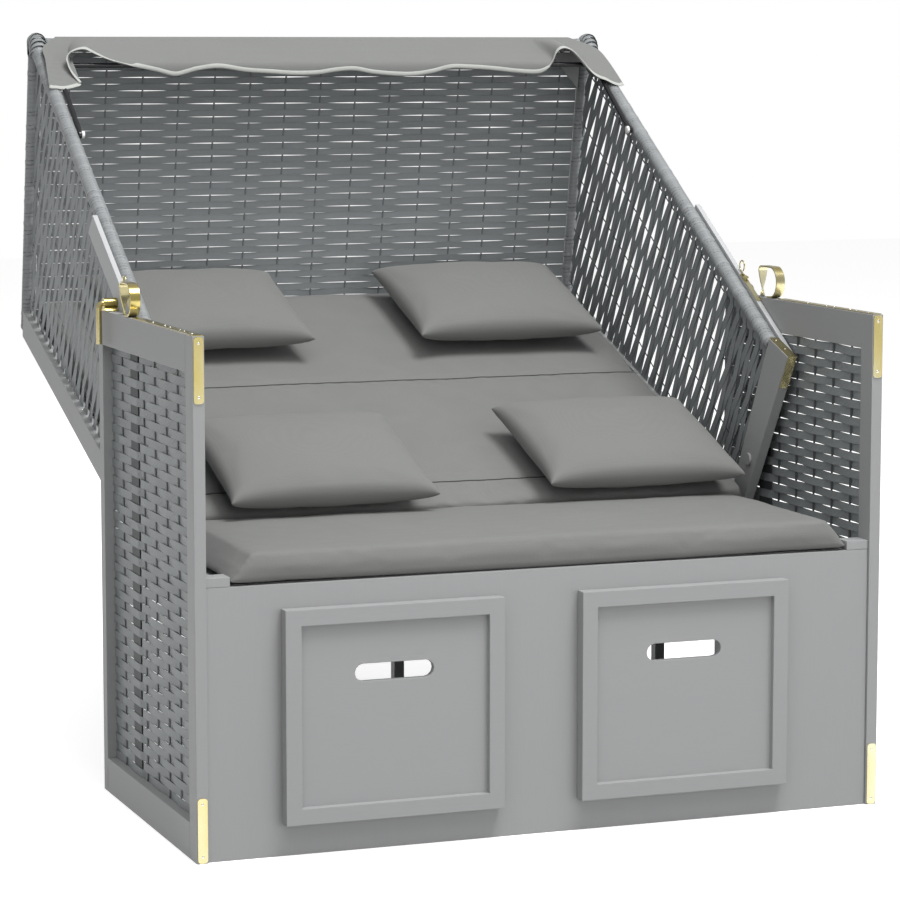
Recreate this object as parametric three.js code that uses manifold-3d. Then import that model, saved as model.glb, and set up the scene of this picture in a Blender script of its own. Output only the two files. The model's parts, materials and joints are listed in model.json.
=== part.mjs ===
// Two-seat hooded beach chair, reclined. A wooden seat box with two woven sides carries a woven
// hood that tilts on two bolts, two footrests that pull out, and a small awning over the hood.
// Millimetres and degrees. X runs across the chair, Y to the back, Z up.
import * as THREE from "three";
import { mergeVertices } from "three/addons/utils/BufferGeometryUtils.js";
import Module from "manifold-3d";

// Driving sizes of the seat box
const seatWidth = 1142;
const baseDepth = 565;
const seatHeight = 432;
const armAboveSeat = 389.5;
const sideHeight = seatHeight + armAboveSeat;
const sideThickness = 19;
const frontStileWidth = 40;
const rearStileWidth = 25;
const sideRailHeight = 58;
const seatRearGap = 140;
const seatDepth = baseDepth - seatRearGap;
const boardThickness = 18;
const frontSetback = 5;
const endBlockWidth = 39;
const endBlockDepth = 35;
const endBlockHeight = 15;

// Woven sides of the seat box
const slatSheetThickness = 2;
const slatSheetInset = 4.5;
const stakeWidth = 8;
const stakePitch = 67;
const firstStakeY = 77;

// Inner frame behind the seat front
const cornerPostWidth = 14.7;
const cornerPostDepth = 35;
const rearRailDepth = 30;
const rearRailAboveSeat = 8;
const rearRailTop = seatHeight + rearRailAboveSeat;
const rearRailHeight = 30;
const floorRailHeight = 40;
const battenWidth = 18;
const battenHeight = 24;
const uprightWidth = 18;
const uprightDepth = 18;
const uprightSetback = 11;
const uprightClearance = 10.5;

// Footrests
const footrestEndInset = 36;
const footrestSpacing = seatWidth / 2 - 2 * footrestEndInset;
const footrestApart = 134;
const footrestWidth = footrestSpacing - footrestApart;
const footrestBottom = 52;
const footrestBelowSeat = 39;
const footrestHeight = seatHeight - footrestBelowSeat - footrestBottom;
const footrestShift = -17.5;
const footrestProud = 18;
const footrestBorder = 26;
const footrestRecess = 10;
const footrestOverlap = 12;
const slotLength = 132;
const slotHeight = 28;
const slotBelowTop = 107.3;
const slotCentreHeight = footrestBottom + footrestHeight - slotBelowTop;
const runnerClearance = 4;
const footrestRailWidth = 20;
const footrestRailHeight = 40;
const footrestRearGap = 185;
const footrestRailLength = baseDepth - footrestRearGap;
const topSlatCount = 5;
const topSlatGap = 20;
const topSlatWidth = (footrestRailLength + topSlatGap) / topSlatCount - topSlatGap;
const topSlatThickness = 12;
const topClearance = 3;
const runnerHeight = 15;

// Pivot of the hood and its hardware
const pivotFromRear = 169.2;
const pivotY = baseDepth - pivotFromRear;
const pivotBelowArm = 283.3;
const pivotHeight = sideHeight - pivotBelowArm;
const pivotPostWidth = 45;
const pivotPostInset = 1.2;
const pivotPostThickness = 3;
const pivotBoltDiameter = 10;
const pivotHeadDiameter = 22;
const pivotHeadHeight = 4;
const bushingDiameter = 24;

// Hood outline, seen from the side with its front edge upright
const frontEdgeAngle = 31.7;
const frontEdgeHeight = 1077;
const hoodBottomDepth = 338;
const backLean = 12.1;
const roofSlope = 21.5;
const pivotBehindFront = 225;
const pivotAboveBottom = 24;
const barDiameter = 26;
const barInset = 23;
const sideBoardThickness = 18;
const sideBoardInset = 13;
const sideBoardFrontHeight = 76;
const sideBoardRearHeight = 46;
const toeForward = 16;
const backRailWidth = 20;
const backRailDepth = 48;
const weaveThickness = 2;
const backWeaveInset = 21.7;
const bottomRailHeight = 46;
const gussetWidth = 62;
const gussetLength = 72;
const gussetThickness = 8;
const edgeStripThickness = 1.5;
const edgeStripWidth = 16;
const edgeStripTail = 66;

// Slits between the strips of the hood's sides, which run back from the front edge
const stripPitch = 15.85;
const firstStrip = 7.35;
const hoodStakePitch = 99.7;
const hoodStakeStart = 48;
const slitStart = 44;
const slitWidth = 12;
const slitReach = 46;
const slitMargin = 6;

// Guide strips and latch
const guideWidth = 43;
const guideLength = 490;
const guideEndSlant = 9;
const guideThickness = 8.7;
const guideSetback = 1;
const boltDiameter = 10;
const boltRise = 13;
const notchDepth = 5.8;
const boltTipInset = 9.4;
const boltReach = 30;
const boltDrop = 68;
const boltBend = 8;
const barrelDiameter = 18;
const barrelLength = 21.7;
const barrelFootDepth = 30;
const barrelFootThickness = 3;
const barrelNeck = 12;
const slideClearance = 0.6;
const plateStart = 187;
const plateLength = 80;
const plateThickness = 1.5;
const clipWire = 2.5;
const clipRingRadius = 9.5;
const clipLegLength = 24;
const clipOpening = 60;
const clipCapDiameter = 10;
const clipCapHeight = 4;
const clipCapInset = 15;

// Brass on the arm rests and front posts
const stripWidth = 16;
const stripThickness = 1.2;
const armStripLength = 268;
const armStripStart = 2;
const postStripLength = 103;
const postStripInset = 1;
const postStripRounding = 5;
const strapWidth = 17;
const strapThickness = 2.5;
const strapHeight = 55;
const strapFromRear = 133;
const strapRearY = baseDepth - strapFromRear;
const strapSpan = 44;
const strapFrontY = strapRearY - strapSpan;
const strapBend = 8;
const strapTail = 10;

// Cushions and pillows
const cushionRearGap = 45;
const cushionDepth = seatDepth - cushionRearGap;
const cushionThickness = 52;
const cushionCrown = 6;
const cushionFrontInset = 3;
const cushionEndSlope = 38;
const cushionEdgeDraw = 8;
const cushionSideInset = 40.5;
const cushionBulge = 3;
const mattressStart = -26.6;
const mattressEnd = 872;
const mattressThickness = 50;
const mattressCrown = 4;
const lowerSeam = 56.5;
const upperSeam = 465;
const seamDepth = 7;
const seamWidth = 14;
const mattressDraw = 7;
const pillowWidth = 366;
const pillowLength = 300;
const pillowThickness = 88;
const pillowEdgeDraw = 20;
const pillowSpacing = seatWidth / 2;
const rearPillowShift = 9;
const rearPillowAlong = 692;
const frontPillowShift = 32;
const frontPillowAlong = 70;
const frontPillowStagger = 16;

// Awning
const awningPivotBelowRoof = 302;
const awningPivotBehindFront = 12;
const awningArm = 209.4;
const awningLean = 3.6;
const awningRod = 9;
const awningRodInset = 5;
const awningBend = 12;
const knobDiameter = 14;
const knobLength = 7;
const clothThickness = 2;
const clothEase = 0.9;
const hemDrop = 20;
const hemRipple = 4;
const hemLift = 11;
const flapLength = 30;
const flapDrape = 8;
const hemRaiseShare = 0.88;
const hemRaiseWidthShare = 0.09;
const hemStartShare = 0.35;
const flapStartShare = 0.95;
const hemCurlShare = 0.22;

// Clearances
const touchGap = 0.3;
const weldDistance = 1e-3;
const cutOverrun = 1;

// Counts for round and soft shapes
const rodSides = 12;
const wireSides = 8;
const bendSteps = 6;
const ringSteps = 16;
const pillowCells = 10;
const cushionRows = 8;
const cushionColumns = 16;
const mattressRows = 20;
const mattressColumns = 12;
const clothColumns = 28;
const clothRows = 8;
const flapRows = 4;
const hemRows = 2;
const hemWaves = 2;

const wasm = await Module();
wasm.setup();
const radians = THREE.MathUtils.degToRad;
const sideways = new THREE.Vector3(1, 0, 0);
const backwards = new THREE.Vector3(0, 1, 0);
const upwards = new THREE.Vector3(0, 0, 1);

// Materials
const wood = () => new THREE.MeshStandardMaterial({ color: 0x8f9192, roughness: 0.6, metalness: 0 });
const paleWood = () => new THREE.MeshStandardMaterial({ color: 0xb4b6b8, roughness: 0.6, metalness: 0 });
const rattan = () => new THREE.MeshStandardMaterial({ color: 0x6c7175, roughness: 0.5, metalness: 0 });
const fabric = () => new THREE.MeshStandardMaterial({ color: 0x8f908c, roughness: 0.9, metalness: 0 });
const brass = () => new THREE.MeshStandardMaterial({ color: 0xd8bf62, roughness: 0.3, metalness: 1 });
const greyMetal = () => new THREE.MeshStandardMaterial({ color: 0x9a9ca0, roughness: 0.4, metalness: 0.8 });
const darkMetal = () => new THREE.MeshStandardMaterial({ color: 0x151617, roughness: 0.4, metalness: 0.6 });

// Manifold solid of a closed three.js geometry
function solidOf(geometry) {
  const bare = geometry.index ? geometry.toNonIndexed() : geometry.clone();
  bare.deleteAttribute("normal");
  bare.deleteAttribute("uv");
  const merged = mergeVertices(bare, weldDistance);
  return new wasm.Manifold(
    new wasm.Mesh({
      numProp: 3,
      vertProperties: merged.attributes.position.array,
      triVerts: new Uint32Array(merged.index.array),
    }),
  );
}

// three.js geometry of a manifold solid
function geometryOf(solid) {
  const mesh = solid.getMesh();
  const geometry = new THREE.BufferGeometry();
  geometry.setAttribute("position", new THREE.BufferAttribute(mesh.vertProperties, 3));
  geometry.setIndex(new THREE.BufferAttribute(mesh.triVerts, 1));
  geometry.computeVertexNormals();
  return geometry;
}

const join = (geometries) =>
  geometryOf(geometries.map(solidOf).reduce((whole, next) => whole.add(next)));
const cut = (geometry, tools) =>
  geometryOf(tools.map(solidOf).reduce((rest, tool) => rest.subtract(tool), solidOf(geometry)));

// Closed geometry from triangles of shared corner points, turned to face outward
function closedBody(triangles) {
  const raw = new THREE.BufferGeometry().setFromPoints(triangles.flat());
  const merged = mergeVertices(raw, weldDistance);
  const corner = (i) => new THREE.Vector3().fromBufferAttribute(merged.attributes.position, i);
  const kept = [];
  let volume = 0;
  for (let i = 0; i < merged.index.count; i += 3) {
    const [a, b, c] = [0, 1, 2].map((k) => merged.index.getX(i + k));
    if (a === b || b === c || c === a) continue;
    kept.push([a, b, c]);
    volume += corner(a).dot(corner(b).cross(corner(c)));
  }
  merged.setIndex(kept.flatMap(([a, b, c]) => (volume < 0 ? [a, c, b] : [a, b, c])));
  merged.computeVertexNormals();
  return merged;
}

// Triangles of a grid of points
function patch(rows) {
  const triangles = [];
  for (let i = 1; i < rows.length; i++) {
    for (let j = 1; j < rows[i].length; j++) {
      const [a, b, c, d] = [rows[i - 1][j - 1], rows[i - 1][j], rows[i][j], rows[i][j - 1]];
      triangles.push([a, b, c], [a, c, d]);
    }
  }
  return triangles;
}

// Flat end of a ring of points, as a fan that faces the way its order gives
const fan = (ring) => ring.slice(2).map((point, i) => [ring[0], ring[i + 1], point]);

// Solid swept through points in one plane; outline(i) lists its section's points as
// [distance along the plane's normal, distance across the path]
function sweep(points, normal, outline) {
  const rings = points.map((point, i) => {
    const before = points[Math.max(i - 1, 0)];
    const after = points[Math.min(i + 1, points.length - 1)];
    const across = after.clone().sub(before).normalize().cross(normal);
    const place = ([along, over]) =>
      point.clone().addScaledVector(normal, along).addScaledVector(across, over);
    return outline(i).map(place);
  });
  const walls = patch(rings.map((ring) => [...ring, ring[0]]));
  const ends = [...fan([...rings[0]].reverse()), ...fan(rings.at(-1))];
  return closedBody([...walls, ...ends]);
}

// Points of a circle or arc in the plane, as [first, second] coordinates
function arc(centre, radius, from, to, steps) {
  return Array.from({ length: steps + 1 }, (_, i) => {
    const angle = radians(from + ((to - from) * i) / steps);
    return [centre[0] + radius * Math.cos(angle), centre[1] + radius * Math.sin(angle)];
  });
}

const fullTurn = 360;
const halfTurn = 180;
const quarterTurn = 90;
const circle = (centre, radius, steps) => arc(centre, radius, 0, fullTurn, steps).slice(1);

// Plate standing across the chair from x0 to x1, cut to an outline of [y, z] points
function plate(outline, x0, x1, holes = []) {
  const shape = new THREE.Shape(outline.map(([y, z]) => new THREE.Vector2(y, z)));
  for (const hole of holes) {
    shape.holes.push(new THREE.Path(hole.map(([y, z]) => new THREE.Vector2(y, z))));
  }
  const geometry = new THREE.ExtrudeGeometry(shape, { depth: x1 - x0, bevelEnabled: false });
  geometry.applyMatrix4(new THREE.Matrix4().makeBasis(backwards, upwards, sideways));
  return geometry.translate(x0, 0, 0);
}

// Plate facing the front, cut to an outline of [x, z] points, from y0 back to y1
function facing(outline, y0, y1, holes = []) {
  const shape = new THREE.Shape(outline.map(([x, z]) => new THREE.Vector2(x, z)));
  for (const hole of holes) {
    shape.holes.push(new THREE.Path(hole.map(([x, z]) => new THREE.Vector2(x, z))));
  }
  const geometry = new THREE.ExtrudeGeometry(shape, { depth: y1 - y0, bevelEnabled: false });
  return geometry.rotateX(radians(quarterTurn)).translate(0, y1, 0);
}

// Straight block between two corners
function block([x0, x1], [y0, y1], [z0, z1]) {
  const geometry = new THREE.BoxGeometry(x1 - x0, y1 - y0, z1 - z0);
  return geometry.translate((x0 + x1) / 2, (y0 + y1) / 2, (z0 + z1) / 2);
}

const rectangle = ([a0, a1], [b0, b1]) => [[a0, b0], [a1, b0], [a1, b1], [a0, b1]];

// Round rod or sleeve along X at [y, z]
function crossRod([y, z], radius, x0, x1, boreRadius = 0) {
  const holes = boreRadius ? [circle([y, z], boreRadius, rodSides)] : [];
  return plate(circle([y, z], radius, rodSides), x0, x1, holes);
}

// Round rod through points in one plane
function rod(points, normal, diameter, sides) {
  const section = circle([0, 0], diameter / 2, sides);
  return sweep(points, normal, () => section);
}

const at = (x, [y, z]) => new THREE.Vector3(x, y, z);

// Adds one named mesh to a group
function add(group, name, material, geometry) {
  const mesh = new THREE.Mesh(geometry, material);
  mesh.name = name;
  group.add(mesh);
}

// Adds a piece at the right and its mirror image at the left
function addPair(group, name, material, makeGeometry) {
  for (const [side, scale] of [["right", 1], ["left", -1]]) {
    const half = new THREE.Group();
    half.scale.x = scale;
    add(half, `${name}_${side}`, material(), makeGeometry());
    group.add(half);
  }
}

// Planes that the seat box shares
const innerX = seatWidth / 2;
const outerX = innerX + sideThickness;
const midSideX = (innerX + outerX) / 2;
const panelBack = frontSetback + boardThickness;
const slatInnerX = innerX + slatSheetInset;

function sideFrame() {
  const opening = rectangle(
    [frontStileWidth, baseDepth - rearStileWidth],
    [sideRailHeight, sideHeight - sideRailHeight],
  );
  return plate(rectangle([0, baseDepth], [0, sideHeight]), innerX, outerX, [opening]);
}

// Slats of one side drawn as one sheet, on the stakes that stand behind them
function sideWeave() {
  const low = sideRailHeight + touchGap;
  const high = sideHeight - sideRailHeight - touchGap;
  const sheetY = [frontStileWidth + touchGap, baseDepth - rearStileWidth - touchGap];
  const pieces = [block([slatInnerX, slatInnerX + slatSheetThickness], sheetY, [low, high])];
  const postHalf = (pivotPostWidth + stakeWidth) / 2 + touchGap;
  for (let y = firstStakeY; y < sheetY[1] - stakeWidth; y += stakePitch) {
    if (Math.abs(y - pivotY) < postHalf) continue;
    const stakeY = [y - stakeWidth / 2, y + stakeWidth / 2];
    pieces.push(block([innerX + touchGap, slatInnerX + slatSheetThickness / 2], stakeY, [low, high]));
  }
  return join(pieces);
}

const boltBore = pivotBoltDiameter / 2 + touchGap;

function pivotPost() {
  const outline = rectangle(
    [pivotY - pivotPostWidth / 2, pivotY + pivotPostWidth / 2],
    [sideRailHeight + touchGap, sideHeight - sideRailHeight - touchGap],
  );
  const postX = innerX + pivotPostInset;
  const bore = circle([pivotY, pivotHeight], boltBore, rodSides);
  return plate(outline, postX, postX + pivotPostThickness, [bore]);
}

// Hood planes across the chair
const barX = innerX - barInset;
const barRadius = barDiameter / 2;
const hoodOuterX = barX + barRadius;
const boardOuterX = innerX - sideBoardInset;
const boardInnerX = boardOuterX - sideBoardThickness;

// Headed bolt through the side board and the bushing, screwed into the pivot post
function pivotBolt() {
  const headX = boardInnerX - touchGap;
  const pivot = [pivotY, pivotHeight];
  return join([
    crossRod(pivot, pivotHeadDiameter / 2, headX - pivotHeadHeight, headX),
    crossRod(pivot, pivotBoltDiameter / 2, headX - pivotHeadHeight / 2,
      innerX + pivotPostInset + pivotPostThickness),
  ]);
}

function pivotBushing() {
  const end = innerX + pivotPostInset - touchGap;
  return crossRod([pivotY, pivotHeight], bushingDiameter / 2, boardOuterX + touchGap, end, boltBore);
}

const footrestCentres = {
  left: footrestShift - footrestSpacing / 2,
  right: footrestShift + footrestSpacing / 2,
};
const cavityHalf = footrestWidth / 2 - footrestOverlap;
const cavityHeights = [
  footrestBottom + footrestOverlap,
  footrestBottom + footrestHeight - footrestOverlap,
];

function frontPanel() {
  const half = innerX - touchGap;
  const board = block([-half, half], [frontSetback, panelBack], [0, seatHeight - touchGap]);
  const through = [frontSetback - cutOverrun, panelBack + cutOverrun];
  const cavities = Object.values(footrestCentres).map((x) =>
    block([x - cavityHalf, x + cavityHalf], through, cavityHeights),
  );
  return cut(board, cavities);
}

// Seat board with the two blocks that close the seat's front corners
function seatBoard() {
  const half = innerX - touchGap;
  const boardY = [panelBack + touchGap, seatDepth];
  const pieces = [block([-half, half], boardY, [seatHeight - boardThickness, seatHeight])];
  for (const side of [-1, 1]) {
    const ends = [side * half, side * (half - endBlockWidth)].sort((a, b) => a - b);
    const blockY = [frontSetback, frontSetback + endBlockDepth];
    pieces.push(block(ends, blockY, [seatHeight, seatHeight + endBlockHeight]));
  }
  return join(pieces);
}

const footrestRailX = cavityHalf - runnerClearance;
const footrestTop = cavityHeights[1] - topClearance;
const footrestRailTop = footrestTop - topSlatThickness;
const runnerTop = footrestRailTop - footrestRailHeight - touchGap;

// Corner posts, rails, seat battens, and the uprights that carry the footrests' runners
function innerFrame() {
  const half = innerX - touchGap;
  const postX = half - cornerPostWidth;
  const railY = [baseDepth - rearRailDepth, baseDepth];
  const postY = baseDepth - cornerPostDepth;
  const pieces = [
    block([-half, half], railY, [rearRailTop - rearRailHeight, rearRailTop]),
    block([-half, half], railY, [0, floorRailHeight]),
  ];
  const battenTop = seatHeight - boardThickness - touchGap;
  for (const side of [-1, 1]) {
    const span = (inner) => [side * half, side * inner].sort((a, b) => a - b);
    pieces.push(block(span(postX), [postY, baseDepth], [0, rearRailTop]));
    const battenY = [panelBack + touchGap, postY + rearRailDepth / 2];
    pieces.push(block(span(half - battenWidth), battenY, [battenTop - battenHeight, battenTop]));
  }
  const uprightBack = baseDepth - uprightSetback;
  for (const centre of Object.values(footrestCentres)) {
    for (const side of [-1, 1]) {
      const inner = centre + side * (footrestWidth / 2 + uprightClearance);
      const outer = inner + side * uprightWidth;
      const tread = centre + side * (footrestRailX - footrestRailWidth);
      const spanX = (a, b) => [Math.min(a, b), Math.max(a, b)];
      const uprightY = [uprightBack - uprightDepth, uprightBack];
      const runnerY = [panelBack + touchGap, uprightBack];
      pieces.push(block(spanX(inner, outer), uprightY, [0, rearRailTop - rearRailHeight / 2]));
      pieces.push(block(spanX(tread, outer), runnerY, [runnerTop - runnerHeight, runnerTop]));
    }
  }
  return join(pieces);
}

// Framed front of a footrest, with its hand slot
function footrestFront(centre) {
  const half = footrestWidth / 2;
  const top = footrestBottom + footrestHeight;
  const outline = rectangle([centre - half, centre + half], [footrestBottom, top]);
  const inner = rectangle(
    [centre - half + footrestBorder, centre + half - footrestBorder],
    [footrestBottom + footrestBorder, top - footrestBorder],
  );
  const radius = slotHeight / 2;
  const reach = slotLength / 2 - radius;
  const slot = [
    ...arc([centre + reach, slotCentreHeight], radius, -quarterTurn, quarterTurn, bendSteps),
    ...arc([centre - reach, slotCentreHeight], radius, quarterTurn, quarterTurn + halfTurn, bendSteps),
  ];
  const face = -footrestProud;
  const back = frontSetback - touchGap;
  const frame = facing(outline, face, back, [slot]);
  return cut(frame, [facing(inner, face - cutOverrun, face + footrestRecess)]);
}

// Rails and slats of a footrest behind its front
function footrestFrame(centre) {
  const start = frontSetback;
  const end = start + footrestRailLength;
  const railZ = [footrestRailTop - footrestRailHeight, footrestRailTop + topSlatThickness / 2];
  const half = footrestRailX;
  const pieces = [-1, 1].map((side) => {
    const inner = centre + side * (half - footrestRailWidth);
    const outer = centre + side * half;
    return block([Math.min(inner, outer), Math.max(inner, outer)], [start, end], railZ);
  });
  pieces.push(block([centre - half, centre + half], [end - footrestRailWidth, end], railZ));
  const pitch = (footrestRailLength - topSlatWidth) / (topSlatCount - 1);
  for (let i = 0; i < topSlatCount; i++) {
    const slatY = [start + i * pitch, start + i * pitch + topSlatWidth];
    pieces.push(block([centre - half, centre + half], slatY, [footrestRailTop, footrestTop]));
  }
  return join(pieces);
}

// Flat brass strip with rounded ends on a front post
function postStrip(bottom) {
  const half = stripWidth / 2;
  const r = postStripRounding;
  const [x0, x1, z0, z1] = [midSideX - half, midSideX + half, bottom, bottom + postStripLength];
  const outline = [
    ...arc([x1 - r, z0 + r], r, -quarterTurn, 0, bendSteps / 2),
    ...arc([x1 - r, z1 - r], r, 0, quarterTurn, bendSteps / 2),
    ...arc([x0 + r, z1 - r], r, quarterTurn, halfTurn, bendSteps / 2),
    ...arc([x0 + r, z0 + r], r, halfTurn, quarterTurn + halfTurn, bendSteps / 2),
  ];
  return facing(outline, -touchGap - stripThickness, -touchGap);
}

function armStrip() {
  const half = stripWidth / 2;
  const bottom = sideHeight + touchGap;
  return block(
    [midSideX - half, midSideX + half],
    [armStripStart, armStripStart + armStripLength],
    [bottom, bottom + stripThickness],
  );
}

// Flat strap bent to a D: its rear leg is twisted a quarter turn and stands edge on, the top
// runs forward, and the front curls down and back onto the arm rest
function strapLoop() {
  const foot = sideHeight + touchGap;
  const top = foot + strapHeight - strapThickness / 2;
  const curl = (top - foot - strapThickness / 2) / 2;
  const legTop = top - strapBend;
  const leg = Array.from({ length: ringSteps + 1 }, (_, i) => [
    strapRearY,
    foot + ((legTop - foot) * i) / ringSteps,
  ]);
  const corner = arc([strapRearY - strapBend, legTop], strapBend, 0, quarterTurn, bendSteps).slice(1);
  const front = arc([strapFrontY, top - curl], curl, quarterTurn, quarterTurn + halfTurn, ringSteps);
  const tail = [strapFrontY + strapTail, top - curl - curl];
  const path = [...leg, ...corner, ...front, tail].map((point) => at(midSideX, point));
  const [w, t] = [strapWidth / 2, strapThickness / 2];
  const section = (i) => {
    const twist = radians(quarterTurn) * Math.max(1 - i / ringSteps, 0);
    const [c, s] = [Math.cos(twist), Math.sin(twist)];
    return rectangle([-w, w], [-t, t]).map(([a, b]) => [a * c - b * s, a * s + b * c]);
  };
  return sweep(path, sideways, section);
}

// Hood frame: origin on the pivot, Z along the front edge, Y away from the sitter
const frontY = -pivotBehindFront;
const bottomZ = -pivotAboveBottom;
const leanTan = Math.tan(radians(backLean));
const leanCos = Math.cos(radians(backLean));
const roofTan = Math.tan(radians(roofSlope));
const roofCos = Math.cos(radians(roofSlope));
const hoodTurn = -radians(quarterTurn - frontEdgeAngle);

// A line is [point, direction]; shifted moves it to its left
const line = (point, direction) => [point, direction];
const shifted = ([[y, z], [dy, dz]], distance) => {
  const length = Math.hypot(dy, dz);
  return [[y - (dz * distance) / length, z + (dy * distance) / length], [dy, dz]];
};
const meeting = ([[y0, z0], [ay, az]], [[y1, z1], [by, bz]]) => {
  const share = ((y1 - y0) * bz - (z1 - z0) * by) / (ay * bz - az * by);
  return [y0 + ay * share, z0 + az * share];
};

const toe = [frontY - toeForward, bottomZ];
const bottomRear = [frontY + hoodBottomDepth, bottomZ];
const boardTopFront = [frontY, bottomZ + sideBoardFrontHeight];
const frontLine = line([frontY, bottomZ], [0, -1]);
const backLine = line(bottomRear, [leanTan, 1]);
const roofLine = line([frontY, bottomZ + frontEdgeHeight], [-1, roofTan]);
const boardTopRear = meeting(backLine, line([0, bottomZ + sideBoardRearHeight], [1, 0]));
const boardTopLine = line(boardTopFront, [
  boardTopRear[0] - boardTopFront[0],
  boardTopRear[1] - boardTopFront[1],
]);
const roofFront = meeting(shifted(frontLine, barRadius), shifted(roofLine, barRadius));
const roofRear = meeting(shifted(backLine, barRadius), shifted(roofLine, barRadius));
const roofLength = Math.hypot(roofRear[0] - roofFront[0], roofRear[1] - roofFront[1]);
const underRoofBar = shifted(roofLine, barDiameter + touchGap);
const overBoard = shifted(boardTopLine, touchGap);
const guideRear = frontY + guideSetback + guideWidth;

// Axis of the locking bolt: over the arm rest, where the strip's rear edge rests on it
const boltZ = sideHeight + boltRise;
const hoodSin = Math.sin(hoodTurn);
const boltAcross = guideRear - notchDepth - (boltZ - pivotHeight) * hoodSin;
const boltAxis = [pivotY + boltAcross / Math.cos(hoodTurn), boltZ];
const slideBore = boltDiameter / 2 + slideClearance / 2;

function sideBoard() {
  const bore = circle([0, 0], boltBore, rodSides);
  return plate([toe, bottomRear, boardTopRear, boardTopFront], boardInnerX, boardOuterX, [bore]);
}

// Brass strip bent round the toe of a side board
function boardEdgeStrip() {
  const front = line(boardTopFront, [toe[0] - boardTopFront[0], toe[1] - boardTopFront[1]]);
  const bottom = line(toe, [1, 0]);
  const near = (point, guide, distance) => shifted(line(point, guide[1]), distance)[0];
  const tail = [toe[0] + edgeStripTail, toe[1]];
  const outer = touchGap + edgeStripThickness;
  const start = [boardTopFront[0], boardTopFront[1]];
  const outline = [
    near(start, front, -touchGap),
    meeting(shifted(front, -touchGap), shifted(bottom, -touchGap)),
    near(tail, bottom, -touchGap),
    near(tail, bottom, -outer),
    meeting(shifted(front, -outer), shifted(bottom, -outer)),
    near(start, front, -outer),
  ];
  const middle = (boardInnerX + boardOuterX) / 2;
  return plate(outline, middle - edgeStripWidth / 2, middle + edgeStripWidth / 2);
}

// Front bar of the hood, standing on the side board and mitred under the roof bar
function hoodFrontBar() {
  const centre = frontY + barRadius;
  const ring = circle([0, centre], barRadius, rodSides).map(([x, y]) => [barX + x, y]);
  const height = (guide, y) => meeting(guide, line([y, 0], [0, 1]))[1];
  const low = ring.map(([x, y]) => new THREE.Vector3(x, y, height(overBoard, centre - barRadius)));
  const high = ring.map(([x, y]) => new THREE.Vector3(x, y, height(underRoofBar, y)));
  const walls = patch([[...low, low[0]], [...high, high[0]]]);
  return closedBody([...walls, ...fan([...low].reverse()), ...fan(high)]);
}

// Closed round frame that carries the roof, mitred at its four corners
function roofFrame() {
  const section = circle([0, 0], barRadius, rodSides);
  const corners = [[1, -1], [1, 1], [-1, 1], [-1, -1]];
  const rings = corners.map(([sx, sy]) =>
    section.map(([out, up]) => {
      const y = (sy > 0 ? roofLength : 0) + sy * out;
      return new THREE.Vector3(sx * (barX + out), y, up);
    }),
  );
  return closedBody(patch([...rings, rings[0]].map((ring) => [...ring, ring[0]])));
}

const roofInner = barX - barRadius - touchGap;

function roofWeave() {
  const inset = barRadius + touchGap;
  return block(
    [-roofInner, roofInner],
    [inset, roofLength - inset],
    [-weaveThickness / 2, weaveThickness / 2],
  );
}

// Three-cornered brace under the roof in a front corner
function cornerGusset() {
  const front = barRadius + touchGap;
  const outline = [[roofInner, front], [roofInner - gussetWidth, front], [roofInner, front + gussetLength]];
  const shape = new THREE.Shape(outline.map(([x, y]) => new THREE.Vector2(x, y)));
  const geometry = new THREE.ExtrudeGeometry(shape, { depth: gussetThickness, bevelEnabled: false });
  return geometry.translate(0, 0, -weaveThickness / 2 - touchGap - gussetThickness);
}

function backSideRail() {
  const inner = shifted(backLine, backRailDepth);
  const outline = [
    meeting(backLine, overBoard),
    meeting(backLine, underRoofBar),
    meeting(inner, underRoofBar),
    meeting(inner, overBoard),
  ];
  return plate(outline, hoodOuterX - backRailWidth, hoodOuterX);
}

// Woven side of the hood as one sheet with the slits that open where the strips cross a stake.
// Places in it are [distance behind the front edge, distance up the edge from the side board].
function hoodSideWeave() {
  const front = barDiameter + touchGap;
  const local = ([back, up]) => [frontY + back, boardTopFront[1] + up];
  const behind = (guide, up) => meeting(guide, line(local([0, up]), [1, 0]))[0] - frontY;
  const inner = shifted(backLine, backRailDepth + touchGap);
  const rearAt = (up) => Math.min(behind(inner, up), behind(underRoofBar, up));
  const top = meeting(underRoofBar, line([frontY + front, 0], [0, 1]))[1] - boardTopFront[1];
  const under = meeting(overBoard, line([frontY + front, 0], [0, 1]));
  const rearUnder = meeting(overBoard, inner);
  const place = ([y, z]) => [y - frontY, z - boardTopFront[1]];

  const chains = [{ below: [place(under), place(rearUnder)], above: [place(under), place(rearUnder)] }];
  for (let k = 1; firstStrip + k * stripPitch < top; k++) {
    const up = firstStrip + k * stripPitch;
    const rear = rearAt(up);
    const [below, above] = [[[front, up]], [[front, up]]];
    for (let stake = k % 2; ; stake += 2) {
      const middle = hoodStakeStart + stake * hoodStakePitch;
      const tip = Math.min(middle + slitReach, rear - slitMargin);
      if (tip < middle + slitMargin) break;
      const start = Math.max(middle - slitReach, slitStart);
      const wide = Math.max(middle, slitStart);
      below.push([start, up], [wide, up - slitWidth / 2], [tip, up]);
      above.push([start, up], [wide, up + slitWidth / 2], [tip, up]);
    }
    below.push([rear, up]);
    above.push([rear, up]);
    chains.push({ below, above });
  }
  chains.push({ below: [[front, top]] });

  const faces = chains.slice(1).flatMap((chain, i) => zipped(chains[i].above, chain.below));
  return thickened(faces.map((face) => face.map(local)), barX - weaveThickness / 2, weaveThickness);
}

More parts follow.
